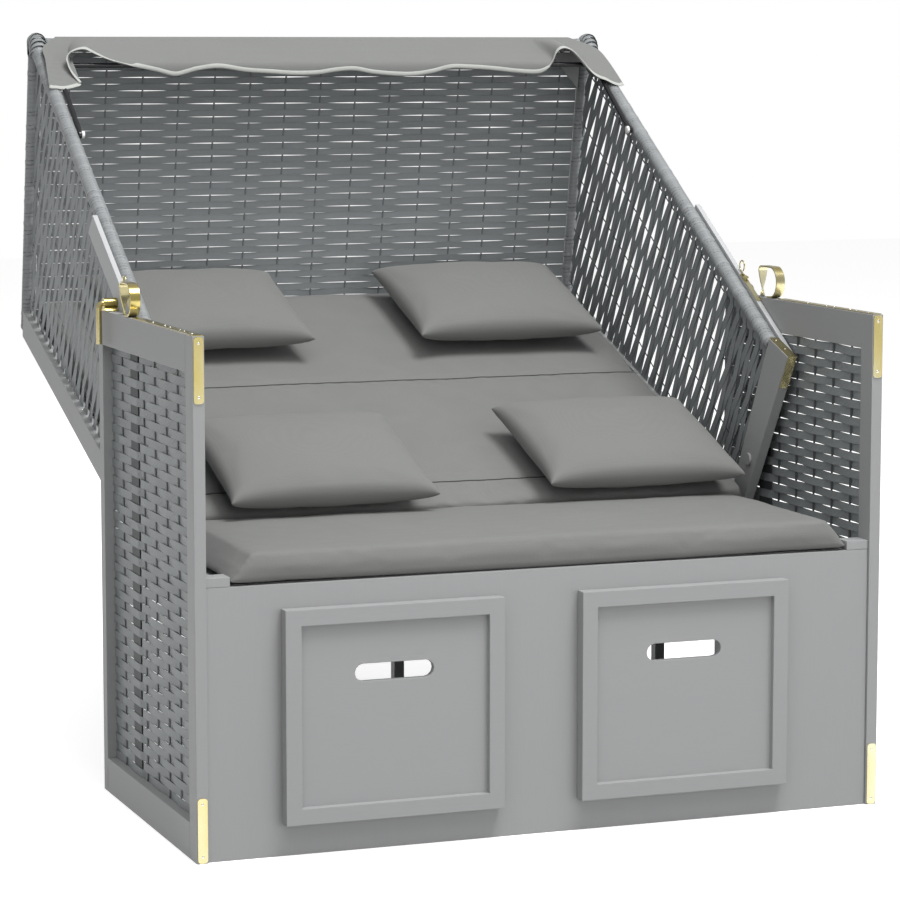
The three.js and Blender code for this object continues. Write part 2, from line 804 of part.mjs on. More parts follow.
// Triangles of the band between two rows of points that both run the same way
function zipped(lower, upper) {
  const faces = [];
  let [i, j] = [0, 0];
  while (i < lower.length - 1 || j < upper.length - 1) {
    const useLower = j === upper.length - 1 || (i < lower.length - 1 && lower[i + 1][0] <= upper[j + 1][0]);
    faces.push([lower[i], useLower ? lower[i + 1] : upper[j + 1], upper[j]]);
    if (useLower) i++;
    else j++;
  }
  return faces;
}

// Flat plate from triangles of [y, z] points, walled along the edges that only one triangle has
function thickened(faces, x, thickness) {
  const edges = new Map();
  const key = (point) => point.map((value) => value.toFixed(3)).join();
  for (const face of faces) {
    face.forEach((start, i) => {
      const end = face[(i + 1) % face.length];
      if (key(start) === key(end)) return;
      const reverse = `${key(end)} ${key(start)}`;
      if (!edges.delete(reverse)) edges.set(`${key(start)} ${key(end)}`, [start, end]);
    });
  }
  const walls = [...edges.values()].flatMap(([start, end]) =>
    patch([
      [at(x, start), at(x, end)],
      [at(x + thickness, start), at(x + thickness, end)],
    ]),
  );
  return closedBody([
    ...faces.map(([a, b, c]) => [at(x + thickness, a), at(x + thickness, b), at(x + thickness, c)]),
    ...faces.map(([a, b, c]) => [at(x, a), at(x, c), at(x, b)]),
    ...walls,
  ]);
}

// Back frame: origin on the hood's rear bottom edge, Z along the back, Y away from the sitter
const backWeaveFront = backWeaveInset + weaveThickness;
const roofRailAlong = (() => {
  const [y, z] = [roofRear[0] - bottomRear[0], roofRear[1] - bottomRear[1]];
  return y * Math.sin(radians(backLean)) + z * leanCos;
})();

function backBottomRail() {
  const half = boardInnerX - touchGap;
  return block([-half, half], [-backWeaveFront, 0], [0, bottomRailHeight]);
}

function backWeave() {
  const half = hoodOuterX - backRailWidth - touchGap;
  const top = roofRailAlong - barRadius - touchGap;
  return block(
    [-half, half],
    [-backWeaveFront, -backWeaveInset],
    [bottomRailHeight + touchGap, top],
  );
}

// Wooden strip outside the front bar, notched where it rests on the locking bolt
function guideStrip() {
  const front = frontY + guideSetback;
  const [boltLocalY, boltLocalZ] = toHood(boltAxis);
  const heading = (Math.atan2(-boltLocalY, boltLocalZ) * halfTurn) / Math.PI;
  const notch = arc(
    [boltLocalY, boltLocalZ],
    boltDiameter / 2 + slideClearance,
    heading - quarterTurn,
    heading - quarterTurn - halfTurn,
    ringSteps / 2,
  );
  const slide = line([0, 0], [boltLocalZ, -boltLocalY]);
  const edge = line([guideRear, 0], [0, 1]);
  const mouth = (point) => meeting(line(point, slide[1]), edge);
  const outline = [
    [front, bottomZ],
    [guideRear, bottomZ],
    mouth(notch[0]),
    ...notch,
    mouth(notch.at(-1)),
    [guideRear, bottomZ + guideLength + guideEndSlant],
    [front, bottomZ + guideLength],
  ];
  const inner = hoodOuterX + touchGap;
  return plate(outline, inner, inner + guideThickness);
}

// Place in the hood frame of a point given in the chair's frame
function toHood([y, z]) {
  const [dy, dz] = [y - pivotY, z - pivotHeight];
  const [c, s] = [Math.cos(hoodTurn), Math.sin(hoodTurn)];
  return [dy * c + dz * s, dz * c - dy * s];
}

// Sleeve on a foot that the locking bolt slides in
function boltBarrel() {
  const [y, z] = boltAxis;
  const bottom = sideHeight + touchGap;
  const footTop = bottom + barrelFootThickness;
  const half = barrelFootDepth / 2;
  const neck = barrelNeck / 2;
  const lift = (Math.asin(neck / (barrelDiameter / 2)) * halfTurn) / Math.PI;
  const outline = [
    [y - half, bottom],
    [y + half, bottom],
    [y + half, footTop],
    [y + neck, footTop],
    ...arc([y, z], barrelDiameter / 2, lift - quarterTurn, fullTurn - quarterTurn - lift, ringSteps),
    [y - neck, footTop],
    [y - half, footTop],
  ];
  return plate(outline, innerX, innerX + barrelLength, [circle([y, z], slideBore, rodSides)]);
}

// Round bolt whose outer end is bent down as its handle
function lockingBolt() {
  const [y, z] = boltAxis;
  const handleX = innerX + boltReach;
  const bend = arc([handleX - boltBend, z - boltBend], boltBend, quarterTurn, 0, bendSteps);
  const path = [[innerX - boltTipInset, z], ...bend, [handleX, z - boltDrop]];
  return rod(path.map(([px, pz]) => new THREE.Vector3(px, y, pz)), backwards, boltDiameter, rodSides);
}

const guideMidX = hoodOuterX + touchGap + guideThickness / 2;
const plateFace = frontY + guideSetback - touchGap - plateThickness;

function stripPlate() {
  const start = plateStart + bottomZ;
  return block(
    [guideMidX - guideThickness / 2, guideMidX + guideThickness / 2],
    [plateFace, plateFace + plateThickness],
    [start, start + plateLength],
  );
}

// Wire clip: a leg under a screw cap on the plate, and an open ring to pull on
function ringClip() {
  const lineY = plateFace - touchGap - clipWire / 2;
  const capZ = bottomZ + plateStart + plateLength - clipCapInset;
  const ringZ = capZ + clipLegLength;
  const ring = arc([lineY - clipRingRadius, ringZ], clipRingRadius, 0, fullTurn - clipOpening, ringSteps);
  const path = [[lineY, capZ], ...ring].map((point) => at(guideMidX, point));
  const wire = rod(path, sideways, clipWire, wireSides);
  const capBase = plateFace - touchGap;
  const cap = new THREE.CylinderGeometry(
    clipCapDiameter / 2,
    clipCapDiameter / 2,
    clipCapHeight,
    rodSides,
  );
  cap.translate(guideMidX, capBase - clipCapHeight / 2, capZ);
  return join([wire, cap]);
}

// Awning bow: origin on its pivots, one rod bent twice, with a knob at each end
function awningBow() {
  const armX = barX - barRadius - awningRodInset;
  const bendOut = armX - awningBend;
  const turn = (sx, from, to) =>
    arc([sx * bendOut, awningArm - awningBend], awningBend, from, to, bendSteps);
  const path = [
    [-armX, 0],
    ...turn(-1, halfTurn, quarterTurn),
    ...turn(1, quarterTurn, 0),
    [armX, 0],
  ].map(([x, z]) => new THREE.Vector3(x, 0, z));
  const pieces = [rod(path, backwards, awningRod, wireSides)];
  for (const side of [-1, 1]) {
    const ends = [side * (armX - knobLength), side * (armX + awningRodInset - touchGap)];
    const [low, high] = ends.sort((a, b) => a - b);
    pieces.push(crossRod([0, 0], knobDiameter / 2, low, high));
  }
  return join(pieces);
}

const awningPivot = [frontY + awningPivotBehindFront, roofFront[1] - awningPivotBelowRoof];

// Cloth from the roof's front rail over the bow to a waved hem, turned down outside both bars
function awningCloth() {
  const lift = barRadius + clothThickness / 2 + clothEase;
  const lean = radians(awningLean);
  const bowY = awningPivot[0] - awningArm * Math.sin(lean);
  const bowZ = awningPivot[1] + awningArm * Math.cos(lean);
  const overBow = bowY - awningRod / 2 - clothThickness / 2 - clothEase;
  const railArc = arc(roofFront, lift, quarterTurn, halfTurn, bendSteps / 2);
  const wrap = lift * radians(quarterTurn);
  const narrow = barX - barRadius - clothEase;
  const wide = barX + wrap + flapDrape;
  // Places of the columns along the cloth's width: wide steps between the bars, fine ones round them
  const steps = Array.from({ length: clothColumns / 2 }, (_, i) => (2 * barX * (i + 1)) / clothColumns);
  const round = Array.from({ length: bendSteps }, (_, i) => barX + (wrap * (i + 1)) / bendSteps);
  const right = [...steps, ...round, wide];
  const columns = [...[...right].reverse().map((place) => -place), 0, ...right];
  // Drop of the hem and how far it curls back: low in the middle, high beside the bars, and
  // lowest on the flaps, which lie straight down the bars
  const hemAt = (x) => {
    const share = Math.min(Math.abs(x) / barX, 1);
    const raise = Math.exp(-(((share - hemRaiseShare) / hemRaiseWidthShare) ** 2));
    const ripple = Math.sin(hemWaves * Math.PI * share + Math.PI * hemStartShare);
    const flap = Math.max(share - flapStartShare, 0) / (1 - flapStartShare);
    const drop = hemDrop + hemRipple * ripple - hemLift * raise + flapLength * flap;
    return [drop, hemCurlShare * (1 - flap)];
  };
  // Place across the chair and distance back of a point that far along the cloth's width
  const section = (along) => {
    const reach = Math.abs(along);
    if (reach <= barX) return [along, 0];
    const angle = Math.min((reach - barX) / lift, radians(quarterTurn));
    const rest = Math.max(reach - barX - wrap, 0);
    return [Math.sign(along) * (barX + lift * Math.sin(angle)), lift * (1 - Math.cos(angle)) + rest];
  };
  const grid = columns.map((column) => {
    const share = column / wide;
    const points = railArc.map(([y, z]) => new THREE.Vector3(share * narrow, y, z));
    const top = points.at(-1);
    for (let row = 1; row <= clothRows; row++) {
      const down = row / clothRows;
      const half = barX + (wide - barX) * Math.min((row - 1) / flapRows, 1);
      const [x, back] = section(share * half);
      const y = top.y + (overBow - top.y) * down + back;
      points.push(new THREE.Vector3(x, y, top.z + (bowZ - top.z) * down));
    }
    const bow = points.at(-1);
    const [drop, curl] = hemAt(column);
    for (let row = 1; row <= hemRows; row++) {
      const down = (drop * row) / hemRows;
      points.push(new THREE.Vector3(bow.x, bow.y + curl * down, bow.z - down));
    }
    return points;
  });
  return thickSheet(grid, clothThickness);
}

// Sheet of even thickness round a grid of points
function thickSheet(grid, thickness) {
  const [last, end] = [grid.length - 1, grid[0].length - 1];
  const normal = (i, j) => {
    const across = grid[Math.min(i + 1, last)][j].clone().sub(grid[Math.max(i - 1, 0)][j]);
    const down = grid[i][Math.min(j + 1, end)].clone().sub(grid[i][Math.max(j - 1, 0)]);
    return across.cross(down).normalize();
  };
  const side = (distance) =>
    grid.map((row, i) =>
      row.map((point, j) => point.clone().addScaledVector(normal(i, j), distance)),
    );
  const [over, under] = [side(thickness / 2), side(-thickness / 2)];
  return closedBody([
    ...patch(over),
    ...patch([...under].reverse()),
    ...patch([under[0], over[0]]),
    ...patch([over[last], under[last]]),
    ...patch([over.map((row) => row[0]), under.map((row) => row[0])]),
    ...patch([under.map((row) => row[end]), over.map((row) => row[end])]),
  ]);
}

// Stuffed block: bottom, crowned top with sewn channels, and sides with a ring that bulges.
// The block lies in its own frame, its bottom on Z = 0 and its length along Y from 0.
function paddedBlock({ half, length, thickness, crown, slope, draw, bulge, seams = [], rows, columns }) {
  const rowPlaces = [];
  for (let i = 0; i <= rows; i++) rowPlaces.push((length * i) / rows);
  const clear = (place) => seams.every((seam) => Math.abs(place - seam) > seamWidth);
  const sewn = seams.flatMap((seam) => [seam - seamWidth / 2, seam, seam + seamWidth / 2]);
  const places = [...rowPlaces.filter(clear), ...sewn].sort((a, b) => a - b);
  const level = (share, y, isTop) => {
    const inX = isTop ? half - slope : half;
    const v = (2 * y) / length - 1;
    const yTop = length / 2 + v * (length / 2 - draw);
    const swell = crown * (1 - share ** 2) * (1 - v ** 2);
    const channel = seams.some((seam) => Math.abs(y - seam) < seamWidth / 4) ? seamDepth : 0;
    return isTop
      ? new THREE.Vector3(share * inX, yTop, thickness - crown + swell - channel)
      : new THREE.Vector3(share * half, y, 0);
  };
  const gridOf = (isTop) =>
    places.map((y) =>
      Array.from({ length: columns + 1 }, (_, j) => level((2 * j) / columns - 1, y, isTop)),
    );
  const [top, bottom] = [gridOf(true), gridOf(false)];
  const border = (grid) => [
    ...grid[0],
    ...grid.slice(1).map((row) => row.at(-1)),
    ...[...grid.at(-1)].reverse().slice(1),
    ...grid.slice(1, -1).map((row) => row[0]).reverse(),
    grid[0][0],
  ];
  const [upper, lower] = [border(top), border(bottom)];
  const centre = new THREE.Vector3(0, length / 2, 0);
  const middle = upper.map((point, i) => {
    const mid = point.clone().add(lower[i]).multiplyScalar(1 / 2);
    const out = mid.clone().sub(centre);
    const onEnd = Math.abs(out.x) / half > Math.abs(out.y) / (length / 2);
    const push = onEnd ? [Math.sign(out.x), 0, 0] : [0, Math.sign(out.y), 0];
    return mid.addScaledVector(new THREE.Vector3(...push), bulge);
  });
  const walls = patch([upper, middle, lower]);
  return closedBody([...patch([...top].reverse()), ...patch(bottom), ...walls]);
}

function seatCushion() {
  const geometry = paddedBlock({
    half: innerX - cushionSideInset,
    length: cushionDepth,
    thickness: cushionThickness + cushionCrown,
    crown: cushionCrown,
    slope: cushionEndSlope,
    draw: cushionEdgeDraw,
    bulge: cushionBulge,
    rows: cushionRows,
    columns: cushionColumns,
  });
  return geometry.translate(0, cushionFrontInset, seatHeight + touchGap);
}

// Mattress on the back, in the back frame
function backMattress() {
  const geometry = paddedBlock({
    half: innerX - cushionSideInset,
    length: mattressEnd - mattressStart,
    thickness: mattressThickness + mattressCrown,
    crown: mattressCrown,
    slope: mattressDraw,
    draw: mattressDraw,
    bulge: 0,
    seams: [lowerSeam, upperSeam].map((seam) => seam - mattressStart),
    rows: mattressRows,
    columns: mattressColumns,
  });
  geometry.rotateX(radians(quarterTurn));
  return geometry.translate(0, -backWeaveFront - touchGap, mattressStart);
}

// Knife-edged pillow with pointed corners, lying on the mattress, in the back frame
function pillow(x, along) {
  const spread = Array.from({ length: pillowCells + 1 }, (_, i) =>
    Math.sin(((2 * i) / pillowCells - 1) * radians(quarterTurn)),
  );
  const surface = (sign) =>
    spread.map((a) =>
      spread.map((b) => {
        const width = pillowWidth / 2 - pillowEdgeDraw * (1 - b ** 2);
        const length = pillowLength / 2 - pillowEdgeDraw * (1 - a ** 2);
        const loft = (pillowThickness / 2) * Math.sqrt((1 - a ** 2) * (1 - b ** 2));
        return new THREE.Vector3(a * width, sign * loft, b * length);
      }),
    );
  const geometry = closedBody([...patch(surface(1)), ...patch([...surface(-1)].reverse())]);
  const across = x / (innerX - cushionSideInset);
  const v = (2 * (along - mattressStart)) / (mattressEnd - mattressStart) - 1;
  const mattressTop = mattressThickness + mattressCrown * (1 - across ** 2) * (1 - v ** 2);
  const rise = backWeaveFront + touchGap + mattressTop + touchGap + pillowThickness / 2;
  return geometry.translate(x, -rise, along);
}

const rearPillow = (side) => pillow(rearPillowShift + (side * pillowSpacing) / 2, rearPillowAlong);

function frontPillow(side) {
  const x = frontPillowShift + (side * pillowSpacing) / 2;
  return pillow(x, frontPillowAlong + (side * frontPillowStagger) / 2);
}

const chair = new THREE.Group();

function addSeatBox() {
  addPair(chair, "side_frame", wood, sideFrame);
  addPair(chair, "side_weave", rattan, sideWeave);
  addPair(chair, "pivot_post", greyMetal, pivotPost);
  addPair(chair, "pivot_bolt", darkMetal, pivotBolt);
  addPair(chair, "pivot_bushing", darkMetal, pivotBushing);
  add(chair, "front_panel", wood(), frontPanel());
  add(chair, "seat_board", wood(), seatBoard());
  add(chair, "inner_frame", wood(), innerFrame());
  addPair(chair, "arm_strip", brass, armStrip);
  addPair(chair, "post_strip_lower", brass, () => postStrip(postStripInset));
  addPair(chair, "post_strip_upper", brass, () => postStrip(sideHeight - postStripInset - postStripLength));
  addPair(chair, "bolt_barrel", brass, boltBarrel);
  addPair(chair, "locking_bolt", brass, lockingBolt);
  addPair(chair, "strap_loop", brass, strapLoop);
  add(chair, "seat_cushion", fabric(), seatCushion());
  for (const [side, centre] of Object.entries(footrestCentres)) {
    add(chair, `footrest_front_${side}`, wood(), footrestFront(centre));
    add(chair, `footrest_frame_${side}`, wood(), footrestFrame(centre));
  }
}

function addHood() {
  const hood = new THREE.Group();
  hood.position.set(0, pivotY, pivotHeight);
  hood.rotation.x = hoodTurn;
  chair.add(hood);
  addPair(hood, "side_board", wood, sideBoard);
  addPair(hood, "board_edge_strip", brass, boardEdgeStrip);
  addPair(hood, "hood_front_bar", rattan, hoodFrontBar);
  addPair(hood, "back_side_rail", wood, backSideRail);
  addPair(hood, "hood_side_weave", rattan, hoodSideWeave);
  addPair(hood, "guide_strip", paleWood, guideStrip);
  addPair(hood, "strip_plate", brass, stripPlate);
  addPair(hood, "ring_clip", brass, ringClip);
  add(hood, "awning_cloth", fabric(), awningCloth());

  const roof = new THREE.Group();
  roof.position.set(0, ...roofFront);
  roof.rotation.x = -radians(roofSlope);
  hood.add(roof);
  add(roof, "roof_frame", rattan(), roofFrame());
  add(roof, "roof_weave", rattan(), roofWeave());
  addPair(roof, "corner_gusset", rattan, cornerGusset);

  const back = new THREE.Group();
  back.position.set(0, ...bottomRear);
  back.rotation.x = -radians(backLean);
  hood.add(back);
  add(back, "back_bottom_rail", wood(), backBottomRail());
  add(back, "back_weave", rattan(), backWeave());
  add(back, "back_mattress", fabric(), backMattress());
  for (const [name, side] of [["left", -1], ["right", 1]]) {
    add(back, `pillow_rear_${name}`, fabric(), rearPillow(side));
    add(back, `pillow_front_${name}`, fabric(), frontPillow(side));
  }

  const bow = new THREE.Group();
  bow.position.set(0, ...awningPivot);
  bow.rotation.x = radians(awningLean);
  hood.add(bow);
  add(bow, "awning_bow", darkMetal(), awningBow());
}

addSeatBox();
addHood();

// The origin is under the middle of the reclined chair, on the ground
chair.updateMatrixWorld(true);
const bounds = new THREE.Box3().setFromObject(chair, true);
const middleOfChair = bounds.getCenter(new THREE.Vector3());
chair.position.set(-middleOfChair.x, -middleOfChair.y, -bounds.min.z);

export default chair;
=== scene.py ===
# Two-seat hooded beach chair, reclined, with its awning half out.
# Metres, the same frame as the solid model: X across the chair, Y to the back, Z up.
import json
import math

import bmesh
import bpy
from mathutils import Matrix, Vector, noise
from mathutils.bvhtree import BVHTree

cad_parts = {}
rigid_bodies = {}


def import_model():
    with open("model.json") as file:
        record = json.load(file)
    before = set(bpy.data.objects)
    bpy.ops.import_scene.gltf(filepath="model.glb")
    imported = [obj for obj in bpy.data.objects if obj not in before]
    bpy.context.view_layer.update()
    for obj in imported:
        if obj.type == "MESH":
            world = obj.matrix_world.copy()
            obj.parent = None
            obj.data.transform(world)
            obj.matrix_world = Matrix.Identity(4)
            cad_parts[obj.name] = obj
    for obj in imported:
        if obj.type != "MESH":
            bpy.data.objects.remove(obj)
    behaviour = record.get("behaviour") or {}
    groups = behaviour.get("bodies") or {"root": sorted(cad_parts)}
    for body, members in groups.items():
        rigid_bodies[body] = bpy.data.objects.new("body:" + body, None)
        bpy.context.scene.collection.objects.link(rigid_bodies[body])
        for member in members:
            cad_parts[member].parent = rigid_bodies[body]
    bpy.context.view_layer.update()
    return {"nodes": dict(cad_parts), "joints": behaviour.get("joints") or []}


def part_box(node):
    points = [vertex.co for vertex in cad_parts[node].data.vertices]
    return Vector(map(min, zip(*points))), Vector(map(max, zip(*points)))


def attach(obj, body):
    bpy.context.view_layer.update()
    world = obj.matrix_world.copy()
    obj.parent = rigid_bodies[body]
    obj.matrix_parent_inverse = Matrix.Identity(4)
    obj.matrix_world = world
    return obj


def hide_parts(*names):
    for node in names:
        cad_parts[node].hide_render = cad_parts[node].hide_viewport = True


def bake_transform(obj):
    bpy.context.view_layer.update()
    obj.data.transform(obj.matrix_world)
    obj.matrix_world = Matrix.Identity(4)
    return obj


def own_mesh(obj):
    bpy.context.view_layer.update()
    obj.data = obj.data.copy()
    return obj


for started in list(bpy.data.objects):
    bpy.data.objects.remove(started)
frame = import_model()
print("frame loaded:", len(frame["nodes"]), "solids")

radians, pi = math.radians, math.pi
sides = {"left": -1, "right": 1}


# Output of a node, which reckons like a number
class Value:
    def __init__(self, wires, socket):
        self.wires, self.socket = wires, socket

    def __abs__(self):
        return self.wires.calc("ABSOLUTE", self)

    def __gt__(self, other):
        return self.wires.calc("GREATER_THAN", self, other)

    def __lt__(self, other):
        return self.wires.calc("LESS_THAN", self, other)

    def clamped(self):
        return self.wires.calc("ADD", self, 0.0, clamp=True)


def addOperator(method, operation):
    setattr(Value, f"__{method}__", lambda first, second: first.wires.calc(operation, first, second))
    setattr(Value, f"__r{method}__", lambda second, first: second.wires.calc(operation, first, second))


for method, operation in {"add": "ADD", "sub": "SUBTRACT", "mul": "MULTIPLY", "truediv": "DIVIDE",
                          "pow": "POWER"}.items():
    addOperator(method, operation)


# Node wiring shared by the materials and the geometry trees
class Wiring:
    def __init__(self, tree):
        self.tree = tree

    def node(self, kind, **settings):
        made = self.tree.nodes.new(kind)
        for key, value in settings.items():
            setattr(made, key, value)
        return made

    def feed(self, socket, value):
        value = getattr(value, "socket", value)
        if isinstance(value, bpy.types.NodeSocket):
            self.tree.links.new(value, socket)
        elif value is not None:
            socket.default_value = value

    def calc(self, operation, *values, clamp=False):
        made = self.node("ShaderNodeMath", operation=operation, use_clamp=clamp)
        for socket, value in zip(made.inputs, values):
            self.feed(socket, value)
        return Value(self, made.outputs[0])

    # First output of a node, with its settings and then its inputs by name
    def call(self, kind, settings=None, **values):
        made = self.node(kind, **(settings or {}))
        for key, value in values.items():
            self.feed(made.inputs[key], value)
        return Value(self, made.outputs[0])

    def combine(self, x, y, z):
        return self.call("ShaderNodeCombineXYZ", X=x, Y=y, Z=z)

    def separate(self, vector):
        made = self.node("ShaderNodeSeparateXYZ")
        self.feed(made.inputs[0], vector)
        return [Value(self, socket) for socket in made.outputs]

    def mix(self, share, first, second):
        made = self.node("ShaderNodeMix", data_type="RGBA")
        for index, value in ((0, share), (6, first), (7, second)):
            self.feed(made.inputs[index], value)
        return Value(self, made.outputs[2])

    def tinted(self, color, tone):
        return self.call("ShaderNodeVectorMath", {"operation": "SCALE"}, Vector=color, Scale=tone)

    def noise(self, vector, scale, detail=2.0):
        return self.call("ShaderNodeTexNoise", Vector=vector, Scale=scale, Detail=detail)

    def stored(self, geometry, name, value):
        return self.call("GeometryNodeStoreNamedAttribute", {"data_type": "FLOAT", "domain": "POINT"},
                         Geometry=geometry, Name=name, Value=value)

    def named(self, name, kind="FLOAT"):
        return self.call("GeometryNodeInputNamedAttribute", {"data_type": kind}, Name=name)

    def chance(self, low, high, identity, seed):
        made = self.node("FunctionNodeRandomValue", data_type="FLOAT")
        for key, value in ((2, low), (3, high), ("ID", identity), ("Seed", seed)):
            self.feed(made.inputs[key], value)
        return Value(self, made.outputs[1])


# Shader group or geometry tree: its inputs with their first values, and a function that makes its outputs
def newTree(name, treeKind, inputs, build):
    tree = bpy.data.node_groups.new(name, treeKind)
    for label, value in inputs.items():
        kind = {float: "Float", int: "Int", tuple: "Color"}.get(type(value), value)
        socket = tree.interface.new_socket(label, in_out="INPUT", socket_type="NodeSocket" + kind)
        if kind != value:
            socket.default_value = value
    wires = Wiring(tree)
    source = wires.node("NodeGroupInput")
    made = build(wires, {socket.name: Value(wires, socket) for socket in source.outputs})
    for label in made:
        kind = label if label in ("Color", "Geometry") else "Float"
        tree.interface.new_socket(label, in_out="OUTPUT", socket_type="NodeSocket" + kind)
    target = wires.node("NodeGroupOutput")
    for label, value in made.items():
        wires.feed(target.inputs[label], value)
    return tree


# Camera, floor and light
photoView = {
    "azimuth": -20.58,       # turned to the chair's left, in degrees
    "elevation": 6.97,
    "focalLength": 131.6,    # millimetres on a 36 mm sensor
    "position": (-1.9750, -5.4303, 1.2570),
}


def placeCamera(view):
    turn, rise = radians(view["azimuth"]), radians(view["elevation"])
    back = Vector((math.sin(turn) * math.cos(rise), -math.cos(turn) * math.cos(rise), math.sin(rise)))
    right = Vector((math.cos(turn), math.sin(turn), 0))
    camera = bpy.data.objects.new("camera", bpy.data.cameras.new("camera"))
    camera.data.lens = view["focalLength"]
    camera.data.sensor_width = 36
    camera.data.clip_end = 60
    axes = Matrix((right, back.cross(right), back)).transposed().to_4x4()
    camera.matrix_world = Matrix.Translation(view["position"]) @ axes
    bpy.context.scene.collection.objects.link(camera)
    bpy.context.scene.camera = camera


studio = {
    "floorSeen": 0.85, "floorBounce": 0.36,    # how pale the floor is for the camera, and for the chair
    "floorGlow": 0.54,       # lifts the floor to white for the camera, and leaves the chair's shadow
    "floorReach": 14, "ambient": 0.48,
    # Power, size and place of each lamp
    "key": (345, 2.4, (0.9, -2.3, 6.3)), "fill": (86, 3.0, (1.7, -5.4, 0.7)),
    "rear": (90, 3.0, (-2.0, 6.0, 2.6)), "side": (45, 2.4, (-1.2, -2.5, 3.5)),
    "aim": (0, 0, 0.6),
}


def makeFloor(setting):
    material = bpy.data.materials.new("studioFloor")
    material.use_nodes = True
    wires, nodes = Wiring(material.node_tree), material.node_tree.nodes
    shader = nodes["Principled BSDF"]
    path = wires.node("ShaderNodeLightPath").outputs
    seen = wires.calc("MAXIMUM", path["Is Camera Ray"], path["Is Glossy Ray"])
    pale = seen * (setting["floorSeen"] - setting["floorBounce"]) + setting["floorBounce"]
    for label, value in (("Roughness", 1), ("Specular IOR Level", 0), ("Base Color", pale)):
        wires.feed(shader.inputs[label], value)
    both = wires.node("ShaderNodeAddShader")
    wires.feed(both.inputs[0], shader.outputs[0])
    wires.feed(both.inputs[1], wires.call("ShaderNodeEmission", Strength=seen * setting["floorGlow"]))
    wires.feed(nodes["Material Output"].inputs["Surface"], both.outputs[0])
    reach = setting["floorReach"]
    mesh = bpy.data.meshes.new("floor")
    mesh.from_pydata([(-reach, -reach, 0), (reach, -reach, 0), (reach, reach, 0), (-reach, reach, 0)],
                     [], [(0, 1, 2, 3)])
    mesh.materials.append(material)
    floor = bpy.data.objects.new("floor", mesh)
    bpy.context.scene.collection.objects.link(floor)


# White behind the chair for the camera, and a softer white all round for the chair
def makeAir(setting):
    world = bpy.data.worlds.new("studioAir")
    bpy.context.scene.world = world
    world.use_nodes = True
    world.node_tree.nodes.clear()
    wires = Wiring(world.node_tree)
    path = wires.node("ShaderNodeLightPath").outputs
    seen = wires.calc("MAXIMUM", path["Is Camera Ray"], path["Is Transmission Ray"])
    light = wires.call("ShaderNodeBackground", Color=(1, 1, 1, 1),
                       Strength=seen * (1 - setting["ambient"]) + setting["ambient"])
    wires.feed(wires.node("ShaderNodeOutputWorld").inputs["Surface"], light)


def makeLamps(setting):
    for name in ("key", "fill", "rear", "side"):
        power, size, place = setting[name]
        lamp = bpy.data.lights.new(name + "Lamp", "AREA")
        lamp.energy, lamp.size = power, size
        holder = bpy.data.objects.new(name + "Lamp", lamp)
        holder.location = place
        aim = Vector(setting["aim"]) - holder.location
        holder.rotation_euler = aim.to_track_quat("-Z", "Y").to_euler()
        holder.visible_glossy = name == "key"
        bpy.context.scene.collection.objects.link(holder)


placeCamera(photoView)
makeFloor(studio)
makeAir(studio)
makeLamps(studio)
bpy.context.scene.view_settings.view_transform = "Standard"
print("camera, floor and lamps placed")


# Shader groups
def paintedGrain(wires, given):
    fibres = wires.call("ShaderNodeTexNoise", Vector=given["Vector"], Scale=260.0, Detail=4.0, Roughness=0.6)
    pores = wires.noise(given["Vector"], 900.0, 1.0)
    clouds = wires.noise(given["Vector"], 3.5)
    tone = (fibres * 0.6 + clouds * 0.4 - 0.5) * given["Contrast"] + 1.0
    return {"Color": wires.tinted(given["Color"], tone), "Height": pores * 0.4 + fibres,
            "Roughness": clouds * 0.16 + 0.42}


def clothWeave(wires, given):
    turns = pi / given["Thread"]
    warp, weft, rise = (wires.calc("SINE", place * turns) for place in wires.separate(given["Vector"]))
    height = (warp + rise) * (weft + rise) * 0.25 + wires.noise(given["Vector"], 420.0)
    clouds = wires.noise(given["Vector"], 7.0, 3.0)
    tone = (height - 0.5) * given["Contrast"] + (clouds - 0.5) * given["Mottle"] + 1.0
    return {"Color": wires.tinted(given["Color"], tone), "Height": height}


def strandFibre(wires, given):
    ribs = wires.calc("SINE", given["Across"] * 22.0)
    speckle = wires.noise(given["Vector"], 160.0, 3.0)
    # Painted shade: each strip is darkened towards its long edges, as if the rounded band turned away from
    # the light
    edge = abs(given["Across"]) ** 8.0
    tone = (given["Tone"] - 0.5) * given["Contrast"] + (speckle - 0.5) * 0.14 + ribs * 0.02 + 1.0
    return {"Color": wires.tinted(given["Color"], tone - edge * given["Edge"]),
            "Height": speckle * 0.3 + ribs, "Roughness": speckle * 0.2 + 0.36}


# Metal with streaks of a second colour: real stain, and on the brass partly painted reflection too
def rolledMetal(wires, given):
    streaks = wires.noise(given["Vector"], 16.0)
    share = (streaks * 3.0 - 1.0).clamped() * given["Stained"]
    return {"Color": wires.mix(share, given["Color"], given["Stain"]),
            "Height": wires.noise(given["Vector"], 700.0), "Roughness": streaks * 0.2 + 0.16}


middleGrey = (0.3, 0.3, 0.3, 1.0)
effects = {}
for build, inputs in ((paintedGrain, {"Contrast": 0.1}),
                      (clothWeave, {"Thread": 0.0011, "Contrast": 0.12, "Mottle": 0.08}),
                      (strandFibre, {"Tone": 0.5, "Across": 0.0, "Contrast": 0.2, "Edge": 0.22}),
                      (rolledMetal, {"Stain": middleGrey, "Stained": 0.4})):
    inputs = {"Vector": "Vector", "Color": middleGrey, **inputs}
    effects[build.__name__] = newTree(build.__name__, "ShaderNodeTree", inputs, build)


